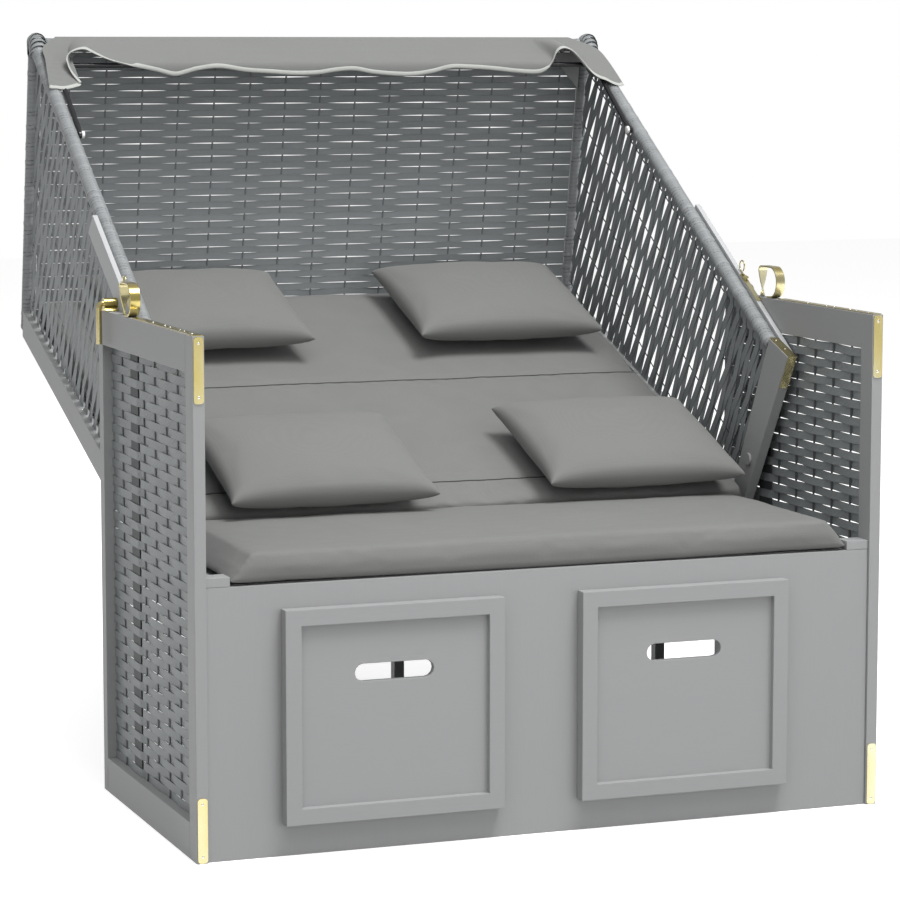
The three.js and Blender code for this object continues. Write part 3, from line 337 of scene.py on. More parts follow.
# A Principled material whose colour, roughness and bump come from one shared group
def newMaterial(name, effect, color, shader, bump, stretch=(1, 1, 1), turn=(0, 0, 0), attributes=(),
                **values):
    material = bpy.data.materials.new(name)
    material.use_nodes = True
    wires = Wiring(material.node_tree)
    principled = material.node_tree.nodes["Principled BSDF"]
    mapping = wires.node("ShaderNodeMapping")
    for label, value in (("Vector", wires.node("ShaderNodeTexCoord").outputs["Object"]), ("Scale", stretch),
                         ("Rotation", [radians(angle) for angle in turn])):
        wires.feed(mapping.inputs[label], value)
    group = wires.node("ShaderNodeGroup", node_tree=effects[effect])
    for label, value in {"Vector": mapping.outputs[0], "Color": (*color, 1), **values}.items():
        wires.feed(group.inputs[label], value)
    for attribute in attributes:
        source = wires.node("ShaderNodeAttribute", attribute_name=attribute)
        wires.feed(group.inputs[attribute.capitalize()], source.outputs["Fac"])
    made = group.outputs
    relief = wires.call("ShaderNodeBump", Strength=bump[0], Distance=bump[1], Height=made["Height"])
    found = {"Base Color": made["Color"], "Roughness": made.get("Roughness"), "Normal": relief}
    for label, value in {**found, **shader}.items():
        wires.feed(principled.inputs[label], value)
    return material


paintGrey, clothGrey = (0.318, 0.322, 0.324), (0.176, 0.179, 0.172)
# The bar grey is the strand grey made lighter: painted light on the wrapped bars, which the roof frame and
# the corner loops share
strandGrey, litBarGrey = (0.220, 0.236, 0.242), (0.275, 0.288, 0.295)
paintShader, strandShader = {"Specular IOR Level": 0.35}, {"Specular IOR Level": 0.5}
clothShader = {"Roughness": 0.85, "Specular IOR Level": 0.22, "Sheen Weight": 0.12, "Sheen Roughness": 0.5}
metal, plastic = {"Metallic": 1.0}, {"Metallic": 0.0}
# Painted wood, named for the way its grain runs
woodUp, woodAcross, woodBack = (
    newMaterial("paintedWood" + way, "paintedGrain", paintGrey, paintShader, (0.25, 0.0004),
                stretch=stretch, Contrast=0.07)
    for way, stretch in (("Upright", (1, 1, 0.08)), ("Across", (0.08, 1, 1)), ("Lengthwise", (1, 0.08, 1))))
paleWood = newMaterial("paleWood", "paintedGrain", (0.44, 0.45, 0.455), paintShader, (0.25, 0.0004),
                       stretch=(1, 0.1, 0.16), Contrast=0.12)
strand = newMaterial("wovenStrand", "strandFibre", strandGrey, strandShader, (0.5, 0.0003),
                     attributes=("tone", "across"), Contrast=0.24)
# Wrapped bars: the strong edge darkening is painted shade in the grooves between the windings
barStrand = newMaterial("barStrand", "strandFibre", litBarGrey, strandShader, (0.5, 0.0003),
                        attributes=("tone", "across"), Contrast=0.16, Edge=0.8)
stakeGrey = newMaterial("roofStake", "strandFibre", (0.13, 0.14, 0.145), strandShader, (0.2, 0.0003))
stakeDark = newMaterial("weaveStake", "strandFibre", (0.06, 0.066, 0.07), strandShader, (0.2, 0.0003))
fabric = newMaterial("cushionCloth", "clothWeave", clothGrey, clothShader, (0.3, 0.0004))
fabricBack = newMaterial("mattressCloth", "clothWeave", clothGrey, clothShader, (0.3, 0.0004),
                         turn=(-19.6, 0, 0))
awningFabric = newMaterial("awningCloth", "clothWeave", (0.184, 0.188, 0.182), clothShader, (0.3, 0.0004))
paleEdgeFabric = newMaterial("hemTape", "clothWeave", (0.42, 0.43, 0.41), clothShader, (0.3, 0.0004))
seamThread = newMaterial("seamThread", "clothWeave", (0.055, 0.056, 0.054), clothShader, (0.2, 0.0002))
# Brass: its pale upright streaks are partly stain and partly painted reflection
brass = newMaterial("yellowBrass", "rolledMetal", (0.56, 0.46, 0.16), metal, (0.04, 0.0001),
                    stretch=(1, 1, 0.35), Stain=(0.69, 0.66, 0.47, 1), Stained=0.85)
screwSteel = newMaterial("screwSteel", "rolledMetal", (0.72, 0.71, 0.66), metal, (0.08, 0.0002),
                         Stain=(0.8, 0.78, 0.7, 1))
blackMetal = newMaterial("blackMetal", "rolledMetal", (0.012, 0.012, 0.014), plastic, (0.1, 0.0002),
                         Stain=(0.02, 0.02, 0.022, 1))
whitePlastic = newMaterial("whitePlastic", "rolledMetal", (0.8, 0.8, 0.79), plastic, (0.05, 0.0001),
                           Stain=(0.75, 0.75, 0.73, 1))
# Metal darkened as painted shade: the pivot posts seen behind the strips, and the pivot bushings too
greyMetal = newMaterial("greyMetal", "strandFibre", (0.042, 0.045, 0.047), {"Specular IOR Level": 0.12},
                        (0.1, 0.0002))
print("materials made:", len(bpy.data.materials))


# Places shared by the pieces, in the hood's side view as (y, z) from its pivot
hoodPivot, bowPivot = (Vector(joint["pos_m"]) for name in ("hood_tilt", "awning_swing")
                       for joint in frame["joints"] if joint["name"] == name)
hoodShape = {
    "edgeAngle": 31.7, "edgeHeight": 1.077, "bottomDepth": 0.338, "backLean": 12.1, "roofSlope": 21.5,
    "pivotBehind": 0.225, "pivotAbove": 0.024, "boardHeight": 0.076, "boardRear": 0.046,
    "barX": 0.548, "barRadius": 0.013,
}


# A line of the side view, as a point and a direction, moved aside
def shifted(line, distance):
    (y, z), (dy, dz) = line
    length = math.hypot(dy, dz)
    return ((y - dz * distance / length, z + dy * distance / length), (dy, dz))


def meeting(first, second):
    (y0, z0), (ay, az) = first
    (y1, z1), (by, bz) = second
    share = ((y1 - y0) * bz - (z1 - z0) * by) / (ay * bz - az * by)
    return (y0 + ay * share, z0 + az * share)


# Axes of a slanted panel that starts at a point of the side view
def panelMatrix(start, angle):
    return hoodMatrix @ Matrix.Translation((0, *start)) @ Matrix.Rotation(-radians(angle), 4, "X")


hoodMatrix = Matrix.Translation(hoodPivot) @ Matrix.Rotation(-radians(90 - hoodShape["edgeAngle"]), 4, "X")
edgeY, footZ, barRadius = -hoodShape["pivotBehind"], -hoodShape["pivotAbove"], hoodShape["barRadius"]
leanTan, roofTan = (math.tan(radians(hoodShape[angle])) for angle in ("backLean", "roofSlope"))
bottomRear = (edgeY + hoodShape["bottomDepth"], footZ)
frontLine, backLine = ((edgeY, footZ), (0, -1)), (bottomRear, (leanTan, 1))
roofLine = shifted(((edgeY, footZ + hoodShape["edgeHeight"]), (-1, roofTan)), barRadius)
roofFront = meeting(shifted(frontLine, barRadius), roofLine)
roofRear = meeting(shifted(backLine, barRadius), roofLine)
roofLength = math.dist(roofFront, roofRear)
roofMatrix = panelMatrix(roofFront, hoodShape["roofSlope"])
backMatrix = panelMatrix(bottomRear, hoodShape["backLean"])
boardTop = footZ + hoodShape["boardHeight"]


# Mesh helpers
def linked(name, mesh):
    piece = bpy.data.objects.new(name, mesh)
    bpy.context.scene.collection.objects.link(piece)
    return piece


def newPiece(name, mesh, body, materials, replaced=(), smooth=None):
    piece = linked(name, mesh)
    for material in materials:
        mesh.materials.append(material)
    if smooth is not None:
        shadeByAngle(mesh, smooth)
    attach(piece, body)
    if replaced:
        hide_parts(*replaced)
    return piece


def shadeByAngle(mesh, angle):
    for polygon in mesh.polygons:
        polygon.use_smooth = True
    mesh.set_sharp_from_angle(angle=radians(angle))


def meshOf(name, points, faces):
    mesh = bpy.data.meshes.new(name)
    mesh.from_pydata([tuple(point) for point in points], [], faces)
    mesh.update()
    return mesh


# Working copy of a solid of the CAD, with its flat faces whole
def mergedCopy(node):
    work = bmesh.new()
    work.from_mesh(frame["nodes"][node].data)
    bmesh.ops.remove_doubles(work, verts=work.verts, dist=1e-5)
    bmesh.ops.dissolve_limit(work, angle_limit=radians(1.5), verts=work.verts, edges=work.edges)
    return work


def bevelEdges(work, width):
    sharp = [edge for edge in work.edges
             if len(edge.link_faces) == 2 and edge.calc_face_angle(0) > radians(25)]
    bmesh.ops.bevel(work, geom=sharp, offset=width, segments=2, profile=0.6, affect="EDGES",
                    clamp_overlap=True)


def finished(work, name):
    mesh = bpy.data.meshes.new(name)
    work.to_mesh(mesh)
    work.free()
    return mesh


def facedOut(mesh):
    work = bmesh.new()
    work.from_mesh(mesh)
    bmesh.ops.recalc_face_normals(work, faces=work.faces)
    work.to_mesh(mesh)
    work.free()
    return mesh


def joined(name, meshes):
    work = bmesh.new()
    for mesh in meshes:
        work.from_mesh(mesh)
        bpy.data.meshes.remove(mesh)
    return finished(work, name)


def addBoard(work, low, high):
    made = bmesh.ops.create_cube(work, size=1)["verts"]
    low, high = Vector(low), Vector(high)
    bmesh.ops.scale(work, vec=high - low, verts=made)
    bmesh.ops.translate(work, vec=(low + high) / 2, verts=made)


# Faces that join rings of points one after the other, with closed ends
def ringFaces(rings):
    count = len(rings[0])
    last = (len(rings) - 1) * count
    faces = [(a + k, a + (k + 1) % count, a + count + (k + 1) % count, a + count + k)
             for a in range(0, last, count) for k in range(count)]
    return faces + [tuple(reversed(range(count))), tuple(range(last, last + count))]


# Tube round a path of points, with one radius or one for each point
def sweptMesh(name, points, radii, ringCount):
    radii = radii if isinstance(radii, list) else [radii] * len(points)
    tangents = [(after - before).normalized()
                for before, after in zip(points[:1] + points, points[1:] + points[-1:])]
    side = tangents[0].orthogonal().normalized()
    rings = []
    for point, tangent, radius in zip(points, tangents, radii):
        side = (side - tangent * side.dot(tangent)).normalized()
        other = tangent.cross(side)
        rings.append([point + (side * math.cos(turn) + other * math.sin(turn)) * radius
                      for turn in (2 * pi * k / ringCount for k in range(ringCount))])
    return meshOf(name, sum(rings, []), ringFaces(rings))


# Painted woodwork
woodwork = {
    "bevel": 0.0009, "jointGap": 0.0002, "frontStile": 0.040, "rearStile": 0.025, "rail": 0.058,
    "footTrim": 0.030,       # how much shorter a guide strip's foot is than its solid
    "stripGain": 0.085,      # how much further back an arm strip runs than its solid
    "stripBevel": 0.0003,
}


def makeSideFrames(setting):
    for side in sides:
        node = "side_frame_" + side
        low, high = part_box(node)
        gap, rail = setting["jointGap"], setting["rail"]
        yFront, yRear = low.y + setting["frontStile"], high.y - setting["rearStile"]
        work = bmesh.new()
        addBoard(work, low, (high.x, yFront, high.z))
        addBoard(work, (low.x, yRear, low.z), high)
        addBoard(work, (low.x, yFront + gap, low.z), (high.x, yRear - gap, low.z + rail))
        addBoard(work, (low.x, yFront + gap, high.z - rail), (high.x, yRear - gap, high.z))
        bevelEdges(work, setting["bevel"])
        mesh = finished(work, node + "_boards")
        newPiece(node + "_boards", mesh, "seat_box", [woodUp, woodBack], [node], smooth=12)
        for polygon in mesh.polygons:
            polygon.material_index = 1 if yFront < polygon.center.y < yRear else 0


def trimFoot(work):
    heights = {vert: (hoodMatrix.inverted() @ vert.co).z for vert in work.verts}
    lift = hoodMatrix.to_3x3() @ Vector((0, 0, woodwork["footTrim"]))
    for vert, height in heights.items():
        if height < min(heights.values()) + woodwork["footTrim"]:
            vert.co += lift


def lengthen(work):
    rear = max(vert.co.y for vert in work.verts)
    for vert in work.verts:
        if vert.co.y > rear - 0.001:
            vert.co.y += woodwork["stripGain"]


def makeBevelledCopies(table, bevel):
    for node, (body, slotName, material) in table.items():
        work = mergedCopy(node)
        if node.startswith("guide_strip"):
            trimFoot(work)
        if node.startswith("arm_strip"):
            lengthen(work)
        bevelEdges(work, bevel)
        mesh = finished(work, node + "_edged")
        newPiece(node + "_edged", mesh, body, [material], [node], smooth=12)


# The same entry for the left and the right node of a name; a body's name may end with its side too
def bothSides(table):
    return {f"{name}_{side}": (body + side if body.endswith("_") else body, *rest)
            for name, (body, *rest) in table.items() for side in sides}


makeSideFrames(woodwork)
makeBevelledCopies({
    "front_panel": ("seat_box", "grey_wood", woodUp),
    "seat_board": ("seat_box", "grey_wood", woodAcross),
    "back_bottom_rail": ("hood", "grey_wood", woodAcross),
    **bothSides({
        "footrest_front": ("footrest_", "grey_wood", woodAcross),
        "side_board": ("hood", "grey_wood", woodBack),
        "back_side_rail": ("hood", "grey_wood", woodBack),
        "guide_strip": ("hood", "pale_wood", paleWood),
        "corner_gusset": ("hood", "rattan", woodAcross),
    }),
}, woodwork["bevel"])
makeBevelledCopies(bothSides({
    "arm_strip": ("seat_box", "brass", brass), "post_strip_lower": ("seat_box", "brass", brass),
    "post_strip_upper": ("seat_box", "brass", brass), "board_edge_strip": ("hood", "brass", brass),
    "strip_plate": ("hood", "brass", brass),
}), woodwork["stripBevel"])
# The pivot posts take the metal darkened as painted shade
for node, material in (("inner_frame", woodUp), ("footrest_frame_left", woodBack),
                       ("footrest_frame_right", woodBack), ("pivot_post_left", greyMetal),
                       ("pivot_post_right", greyMetal)):
    frame["nodes"][node].data.materials.clear()
    frame["nodes"][node].data.materials.append(material)
print("woodwork and strips made")


# Woven panels
# How far apart two strips stand at a boundary, at a distance along them
def slitOpening(wires, given, boundary, along):
    parity = wires.calc("FLOORED_MODULO", boundary + given["Phase"], 2.0)
    steps = (along - given["First Stake"]) / given["Stake Spacing"]
    stake = wires.calc("ROUND", (steps - parity) / 2.0) * 2.0 + parity
    away = abs((steps - stake) * given["Stake Spacing"])
    chance = wires.chance(0.0, 1.0, boundary * 97.0 + stake, given["Seed"])
    size = 1.0 - parity * given["Short Columns"] * 0.32
    wide = given["Slit Width"] * size * (1.0 - given["Spread"] * chance)
    share = (1.0 - away / (given["Slit Reach"] * size)).clamped()
    return wide * share ** given["Slit Curve"] * (along > given["Slit Start"])


# Upright rods that the strips pass in front of and behind
def weaveStakes(wires, given):
    line = wires.call("GeometryNodeMeshLine", {"mode": "OFFSET"}, **{
        "Count": given["Stakes"], "Start Location": wires.combine(given["First Stake"], 0.0, 0.0),
        "Offset": wires.combine(given["Stake Spacing"], 0.0, 0.0)})
    stakeAt = wires.separate(wires.call("GeometryNodeInputPosition"))[0]
    bottom = wires.calc("MAXIMUM", given["Bottom Slope"] * stakeAt + given["Bottom"],
                        (stakeAt - given["Rear"]) / given["Rear Slope"])
    top = given["Top Slope"] * stakeAt + given["Top"]
    placed = wires.call("GeometryNodeSetPosition", Geometry=line, Position=wires.combine(
        stakeAt, (bottom + top) * 0.5, given["Thickness"] * 0.5))
    rod = wires.call("GeometryNodeMeshCylinder", Vertices=10, Radius=0.5, Depth=1.0)
    upright = wires.call("FunctionNodeEulerToRotation", Euler=(pi / 2, 0, 0))
    rods = wires.call("GeometryNodeInstanceOnPoints", Points=placed, Instance=rod, Rotation=upright,
                      Scale=wires.combine(given["Stake Width"], given["Stake Depth"], top - bottom))
    return wires.call("GeometryNodeSetMaterial", Material=given["Stake"],
                      Geometry=wires.call("GeometryNodeRealizeInstances", Geometry=rods))


# Flat faces given a thickness
def thickened(wires, sheet, thickness):
    raised = wires.node("GeometryNodeExtrudeMesh", mode="FACES")
    for label, value in (("Mesh", sheet), ("Offset", wires.combine(0.0, 0.0, 1.0)),
                         ("Offset Scale", thickness), ("Individual", False)):
        wires.feed(raised.inputs[label], value)
    both = wires.node("GeometryNodeJoinGeometry")
    wires.feed(both.inputs[0], raised.outputs["Mesh"])
    wires.feed(both.inputs[0], wires.call("GeometryNodeFlipFaces", Mesh=sheet))
    return wires.call("GeometryNodeMergeByDistance", Geometry=both.outputs[0], Distance=0.00002)


# A grid of points with three rows for each strip, shaped into strips that swing from side to side
def wovenPanel(wires, given):
    rows = given["Strips"] * 3.0
    grid = wires.call("GeometryNodeMeshGrid", **{"Vertices X": given["Columns"], "Vertices Y": rows})
    index = wires.call("GeometryNodeInputIndex")
    column = wires.calc("FLOOR", (index + 0.5) / rows)
    row = index - column * rows
    strip = wires.calc("FLOOR", (row + 0.5) / 3.0)
    across = row - strip * 3.0 - 1.0
    kept = wires.stored(grid, "stripNumber", strip)
    kept = wires.stored(kept, "across", across)
    kept = wires.stored(kept, "rim", abs(across))
    kept = wires.stored(kept, "alongStrip", column * given["Step"] + given["Start"])
    strip, across, along = (wires.named(name) for name in ("stripNumber", "across", "alongStrip"))

    lowerGap, upperGap = (slitOpening(wires, given, boundary, along) for boundary in (strip, strip + 1.0))
    middle = (strip + 0.5) * given["Pitch"] + given["First"] + (lowerGap - upperGap) * 0.5
    upward = middle + across * 0.5 * (given["Pitch"] - given["Seam"])
    upward = upward + wires.chance(-0.0002, 0.0002, strip, 11)
    rear = given["Rear Slope"] * upward + given["Rear"]
    roofEnd = (1.0 - (given["Top Slope"] < -0.0001)) * 9.0 + (upward - given["Top"]) / given["Top Slope"]
    last = wires.calc("MINIMUM", rear, roofEnd)
    held = wires.calc("MAXIMUM", wires.calc("MINIMUM", along, last), given["Front"])
    limited = wires.calc("MAXIMUM", wires.calc("MINIMUM", upward, given["Top Slope"] * held + given["Top"]),
                         given["Bottom Slope"] * held + given["Bottom"])
    outside = wires.calc("MAXIMUM", along - last > given["Step"], given["Front"] - along > given["Step"])
    lost = wires.calc("MAXIMUM", outside, abs(limited - upward) > given["Pitch"])

    turns = (held - given["First Stake"]) / given["Stake Spacing"] + strip
    swing = wires.calc("COSINE", turns * pi) * given["Bulge"]
    atPost = ((given["Post Half"] - abs(held - given["Post"])) * 90.0).clamped()
    postSwing = (wires.calc("FLOORED_MODULO", strip, 2.0) * 2.0 - 1.0) * given["Post Bulge"]
    out = swing + atPost * (postSwing - swing) + (1.0 - across ** 2.0) * given["Crown"]
    patch = wires.noise(wires.combine(along * 9.0, strip * 3.7, 0.0), 1.0, 1.0)
    kept = wires.stored(kept, "tone", wires.chance(0.0, 1.0, strip, 5) * 0.6 + patch * 0.5)
    placed = wires.call("GeometryNodeSetPosition", Geometry=kept, Position=wires.combine(held, limited, out))
    trimmed = wires.call("GeometryNodeDeleteGeometry", {"domain": "POINT"}, Geometry=placed, Selection=lost)
    sheet = wires.call("GeometryNodeDeleteGeometry", {"domain": "FACE"}, Geometry=trimmed,
                       Selection=wires.named("rim") > 0.75)
    strands = wires.call("GeometryNodeSetMaterial", Geometry=thickened(wires, sheet, given["Thickness"]),
                         Material=given["Strand"])
    everything = wires.node("GeometryNodeJoinGeometry")
    wires.feed(everything.inputs[0], strands)
    wires.feed(everything.inputs[0], weaveStakes(wires, given))
    return {"Geometry": everything.outputs[0]}


# Plain mesh of a tree's result, with its inputs set by name
def meshFromTree(tree, values, name, base=None):
    source = base or bpy.data.meshes.new(name + "Holder")
    holder = linked(name + "Holder", source)
    modifier = holder.modifiers.new("tree", "NODES")
    modifier.node_group = tree
    for socket in tree.interface.items_tree:
        if socket.in_out == "INPUT" and socket.name in values:
            modifier[socket.identifier] = values[socket.name]
    holder.update_tag()
    evaluated = holder.evaluated_get(bpy.context.evaluated_depsgraph_get())
    mesh = bpy.data.meshes.new_from_object(evaluated)
    mesh.name = name
    bpy.data.objects.remove(holder)
    bpy.data.meshes.remove(source)
    return mesh


panelTree = newTree("wovenPanel", "GeometryNodeTree", {
    "Start": 0.0, "Step": 0.008, "Columns": 50, "Strips": 60, "Pitch": 0.0158, "First": 0.0,
    "Stakes": 5, "First Stake": 0.048, "Stake Spacing": 0.0997, "Stake Width": 0.0036, "Stake Depth": 0.003,
    "Slit Width": 0.012, "Slit Reach": 0.048, "Slit Start": -1.0, "Slit Curve": 1.0, "Short Columns": 0.0,
    "Spread": 0.5, "Phase": 0.0, "Post": -9.0, "Post Half": 0.03, "Post Bulge": 0.0023, "Bulge": 0.002,
    "Crown": 0.0004, "Thickness": 0.0009, "Seam": 0.00035, "Front": 0.0, "Rear": 1.0, "Rear Slope": 0.0,
    "Top": 1.0, "Top Slope": 0.0, "Bottom": 0.0, "Bottom Slope": 0.0, "Seed": 3,
    "Strand": "Material", "Stake": "Material",
}, wovenPanel)
frameBox = {node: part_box(node) for node in frame["nodes"]}
hoodWeave = {
    "Start": -0.0018, "Step": 0.0997 / 12, "Columns": 63, "Strips": 64, "Pitch": 0.01585,
    "First": 0.00735 - 0.01585 * 3, "Stake Depth": 0.0009, "Slit Width": 0.0180, "Slit Reach": 0.0505,
    "Slit Start": 0.0405, "Slit Curve": 0.85, "Bulge": 0.0007, "Crown": 0.0001, "Thickness": 0.0004,
    "Front": 0.0263, "Rear": 0.3049, "Rear Slope": 0.2144, "Top": 0.9727, "Top Slope": -0.3939,
    "Bottom": 0.0003, "Bottom Slope": -0.0862,
}
roofWeave = {
    "Start": -0.5447, "Step": 0.070 / 8, "Columns": 126, "Strips": 41, "Pitch": 0.0126, "First": 0.01,
    "Stakes": 15, "First Stake": -0.4816, "Stake Spacing": 0.070, "Stake Depth": 0.0012,
    "Slit Width": 0.0026, "Slit Reach": 0.052, "Short Columns": 1.0, "Bulge": 0.0009, "Crown": 0.0003,
    "Thickness": 0.0006, "Front": -0.5345, "Rear": 0.5345, "Top": 0.5202, "Bottom": 0.0135, "Seed": 8,
}
backWeave = {**roofWeave, "Start": -0.5497, "Columns": 127, "Strips": 65, "First": 0.0465,
             "Front": -0.5405, "Rear": 0.5405, "Top": 0.8655, "Bottom": 0.0465, "Seed": 17}
sideWeave = {
    "Start": 0.0331, "Step": 0.067 / 8, "Columns": 66, "Strips": 48, "Pitch": 0.01468, "First": 0.0583,
    "Stakes": 7, "First Stake": 0.077, "Stake Spacing": 0.067, "Stake Width": 0.008, "Stake Depth": 0.0014,
    "Slit Width": 0.0014, "Slit Reach": 0.034, "Slit Curve": 0.6, "Spread": 0.45, "Short Columns": 0.8,
    "Bulge": 0.0014, "Thickness": 0.0007, "Post": 0.3958, "Front": 0.0403, "Rear": 0.5397,
    "Top": 0.7632, "Bottom": 0.0583,
}
# How far each panel's middle plane lies from where its frame is measured
weavePlace = {"hood": -0.0002, "sideX": 0.5737, "side": -0.0004, "roof": -0.0004, "back": -0.0227}


# Panel whose strips run along the turn's first axis and are spaced along its second
def makePanel(node, body, sizes, origin, turn, stake=stakeDark):
    mesh = meshFromTree(panelTree, {"Strand": strand, "Stake": stake, **sizes}, node + "_strips")
    place = Matrix.Translation(origin) @ turn.to_4x4()
    mesh.transform(place)
    if place.determinant() < 0:
        mesh.flip_normals()
    shadeByAngle(mesh, 40)
    newPiece(node + "_strips", mesh, body, [], [node])
    print(node, "strips:", len(mesh.polygons), "faces")


def makeWeaves():
    across, backward, upward = Vector((1, 0, 0)), Vector((0, 1, 0)), Vector((0, 0, 1))
    hoodTurn, roofTurn, backTurn = (matrix.to_3x3() for matrix in (hoodMatrix, roofMatrix, backMatrix))
    sideways = Matrix((backward, upward, across)).transposed()
    for side, sign in sides.items():
        phase = 0.0 if side == "right" else 1.0
        low, high = frameBox["hood_side_weave_" + side]
        origin = hoodMatrix @ Vector((0, edgeY, boardTop))
        origin.x = (low.x + high.x) / 2 + weavePlace["hood"]
        makePanel("hood_side_weave_" + side, "hood", {**hoodWeave, "Phase": phase, "Seed": 4 + sign},
                  origin, hoodTurn @ sideways)
        origin = (sign * weavePlace["sideX"] + weavePlace["side"], frameBox["side_frame_" + side][0].y, 0)
        makePanel("side_weave_" + side, "seat_box", {**sideWeave, "Phase": phase, "Seed": 30 + sign},
                  origin, sideways)
    makePanel("roof_weave", "hood", roofWeave, roofMatrix @ (upward * weavePlace["roof"]), roofTurn,
              stakeGrey)
    makePanel("back_weave", "hood", backWeave, backMatrix @ (backward * weavePlace["back"]),
              backTurn @ Matrix((across, upward, -backward)).transposed(), stakeGrey)


makeWeaves()
print("weaves made")


# Wrapped bars: a tube along Z whose windings slope, with a groove between them
def wrappedBar(wires, given):
    count = wires.calc("ROUND", given["Length"] / given["Pitch"]) * given["Rows"] + 1.0
    around = given["Sides"] + 1.0
    grid = wires.call("GeometryNodeMeshGrid", **{"Vertices X": count, "Vertices Y": around})
    index = wires.call("GeometryNodeInputIndex")
    step = wires.calc("FLOOR", (index + 0.5) / around)
    along = step * given["Length"] / (count - 1.0)
    angle = (index - step * around) * (2 * pi) / given["Sides"]
    sine, cosine = wires.calc("SINE", angle), wires.calc("COSINE", angle)
    phase = along / given["Pitch"] + sine * given["Lead"] * 0.5
    ring = wires.calc("FLOOR", phase + 0.0001)
    across = (phase - ring) * 2.0 - 1.0
    chance = wires.chance(0.0, 1.0, ring, given["Seed"])
    proud = chance > 0.8
    nearEnd = wires.calc("MINIMUM", along, given["Length"] - along)
    rounding = (1.0 - nearEnd / given["Radius"]).clamped()
    rounded = wires.calc("SQRT", (1.0 - rounding * rounding).clamped())
    radius = (given["Radius"] - abs(across) ** 6.0 * given["Groove"] + proud * given["Proud"]) * rounded
    # Two windings of each four get more painted shade at their edges
    paired = wires.calc("FLOORED_MODULO", ring + wires.calc("ROUND", chance), 4.0) < 0.5
    kept = wires.stored(grid, "across", across * (paired * 0.25 + 1.0))
    kept = wires.stored(kept, "tone", proud * 0.35 + chance * 0.6)
    placed = wires.call("GeometryNodeSetPosition", Geometry=kept,
                        Position=wires.combine(radius * cosine, radius * sine, along))
    welded = wires.call("GeometryNodeMergeByDistance", Geometry=placed, Distance=0.00001)
    return {"Geometry": wires.call("GeometryNodeSetMaterial", Geometry=welded, Material=given["Strand"])}


barTree = newTree("wrappedBar", "GeometryNodeTree", {
    "Length": 1.0, "Radius": 0.0125, "Pitch": 0.0083, "Groove": 0.0004, "Proud": 0.0005, "Lead": 0.6,
    "Rows": 6, "Sides": 24, "Seed": 1, "Strand": "Material",
}, wrappedBar)


# Mesh of a bar wound with strips between two points
def barBetween(name, start, end, seed):
    sizes = {"Length": (end - start).length, "Radius": barRadius - barShape["gap"], "Seed": seed,
             "Strand": barStrand}
    mesh = meshFromTree(barTree, sizes, name)
    turn = (end - start).normalized().to_track_quat("Z", "X").to_matrix().to_4x4()
    mesh.transform(Matrix.Translation(start) @ turn)
    return facedOut(mesh)


# Moves the points under a line of the hood's side view up onto it, along the hood's Z
def clampAbove(mesh, line, gap):
    (y0, z0), (dy, dz) = line
    for vertex in mesh.vertices:
        local = hoodMatrix.inverted() @ vertex.co
        lowest = z0 + (local.y - y0) * dz / dy + gap
        if local.z < lowest:
            local.z = lowest
            vertex.co = hoodMatrix @ local


barShape = {"inset": 0.001, "sunk": 0.004, "gap": 0.0003}


def makeBars(shape):
    barX = hoodShape["barX"]
    boardRear = meeting(backLine, ((0, footZ + hoodShape["boardRear"]), (1, 0)))
    boardTopLine = ((edgeY, boardTop), (boardRear[0] - edgeY, boardRear[1] - boardTop))
    for side, sign in sides.items():
        low, high = (hoodMatrix @ Vector((sign * barX, edgeY + barRadius, height - shape["sunk"]))
                     for height in (boardTop, roofFront[1]))
        name = "front_bar_wrapped_" + side
        mesh = barBetween(name, low, high, 21 + sign)
        clampAbove(mesh, boardTopLine, shape["gap"])
        newPiece(name, mesh, "hood", [], ["hood_front_bar_" + side], smooth=50)
    corner = {(sx, sy): roofMatrix @ Vector((sx * barX, roofLength if sy > 0 else 0, 0))
              for sx in (-1, 1) for sy in (-1, 1)}
    down = (corner[1, 1] - corner[1, -1]).normalized() * (barRadius - shape["inset"])
    over = Vector((barRadius - shape["inset"], 0, 0))
    pieces = [barBetween("roofSide", corner[sx, -1] - down, corner[sx, 1] + down, 40 + sx)
              for sx in (-1, 1)]
    pieces += [barBetween("roofAcross", corner[-1, sy] - over, corner[1, sy] + over, 50 + sy)
               for sy in (-1, 1)]
    newPiece("roof_frame_wrapped", joined("roof_frame_wrapped", pieces), "hood", [barStrand],
             ["roof_frame"], smooth=50)


cornerLoops = {
    "leans": (-9, 4, 17, 30, 43, 56), "tops": (0.0425, 0.0425, 0.0400, 0.0365, 0.0330, 0.0300),
    "width": 0.0120, "thickness": 0.0018, "clear": 0.0010, "arcSteps": 12, "foot": 0.004,
}


# Rings of a flat strip along a path: its width lies along one direction, its thickness across the path
def ribbonRings(points, sideways, width, thickness):
    rings = []
    for before, point, after in zip(points[:1] + points, points, points[1:] + points[-1:]):
        out = (after - before).normalized().cross(sideways).normalized()
        rings.append([point + sideways * (a * width / 2) + out * (b * thickness / 2)
                      for a, b in ((-1, -1), (-0.6, 1), (0.6, 1), (1, -1))])
    return rings


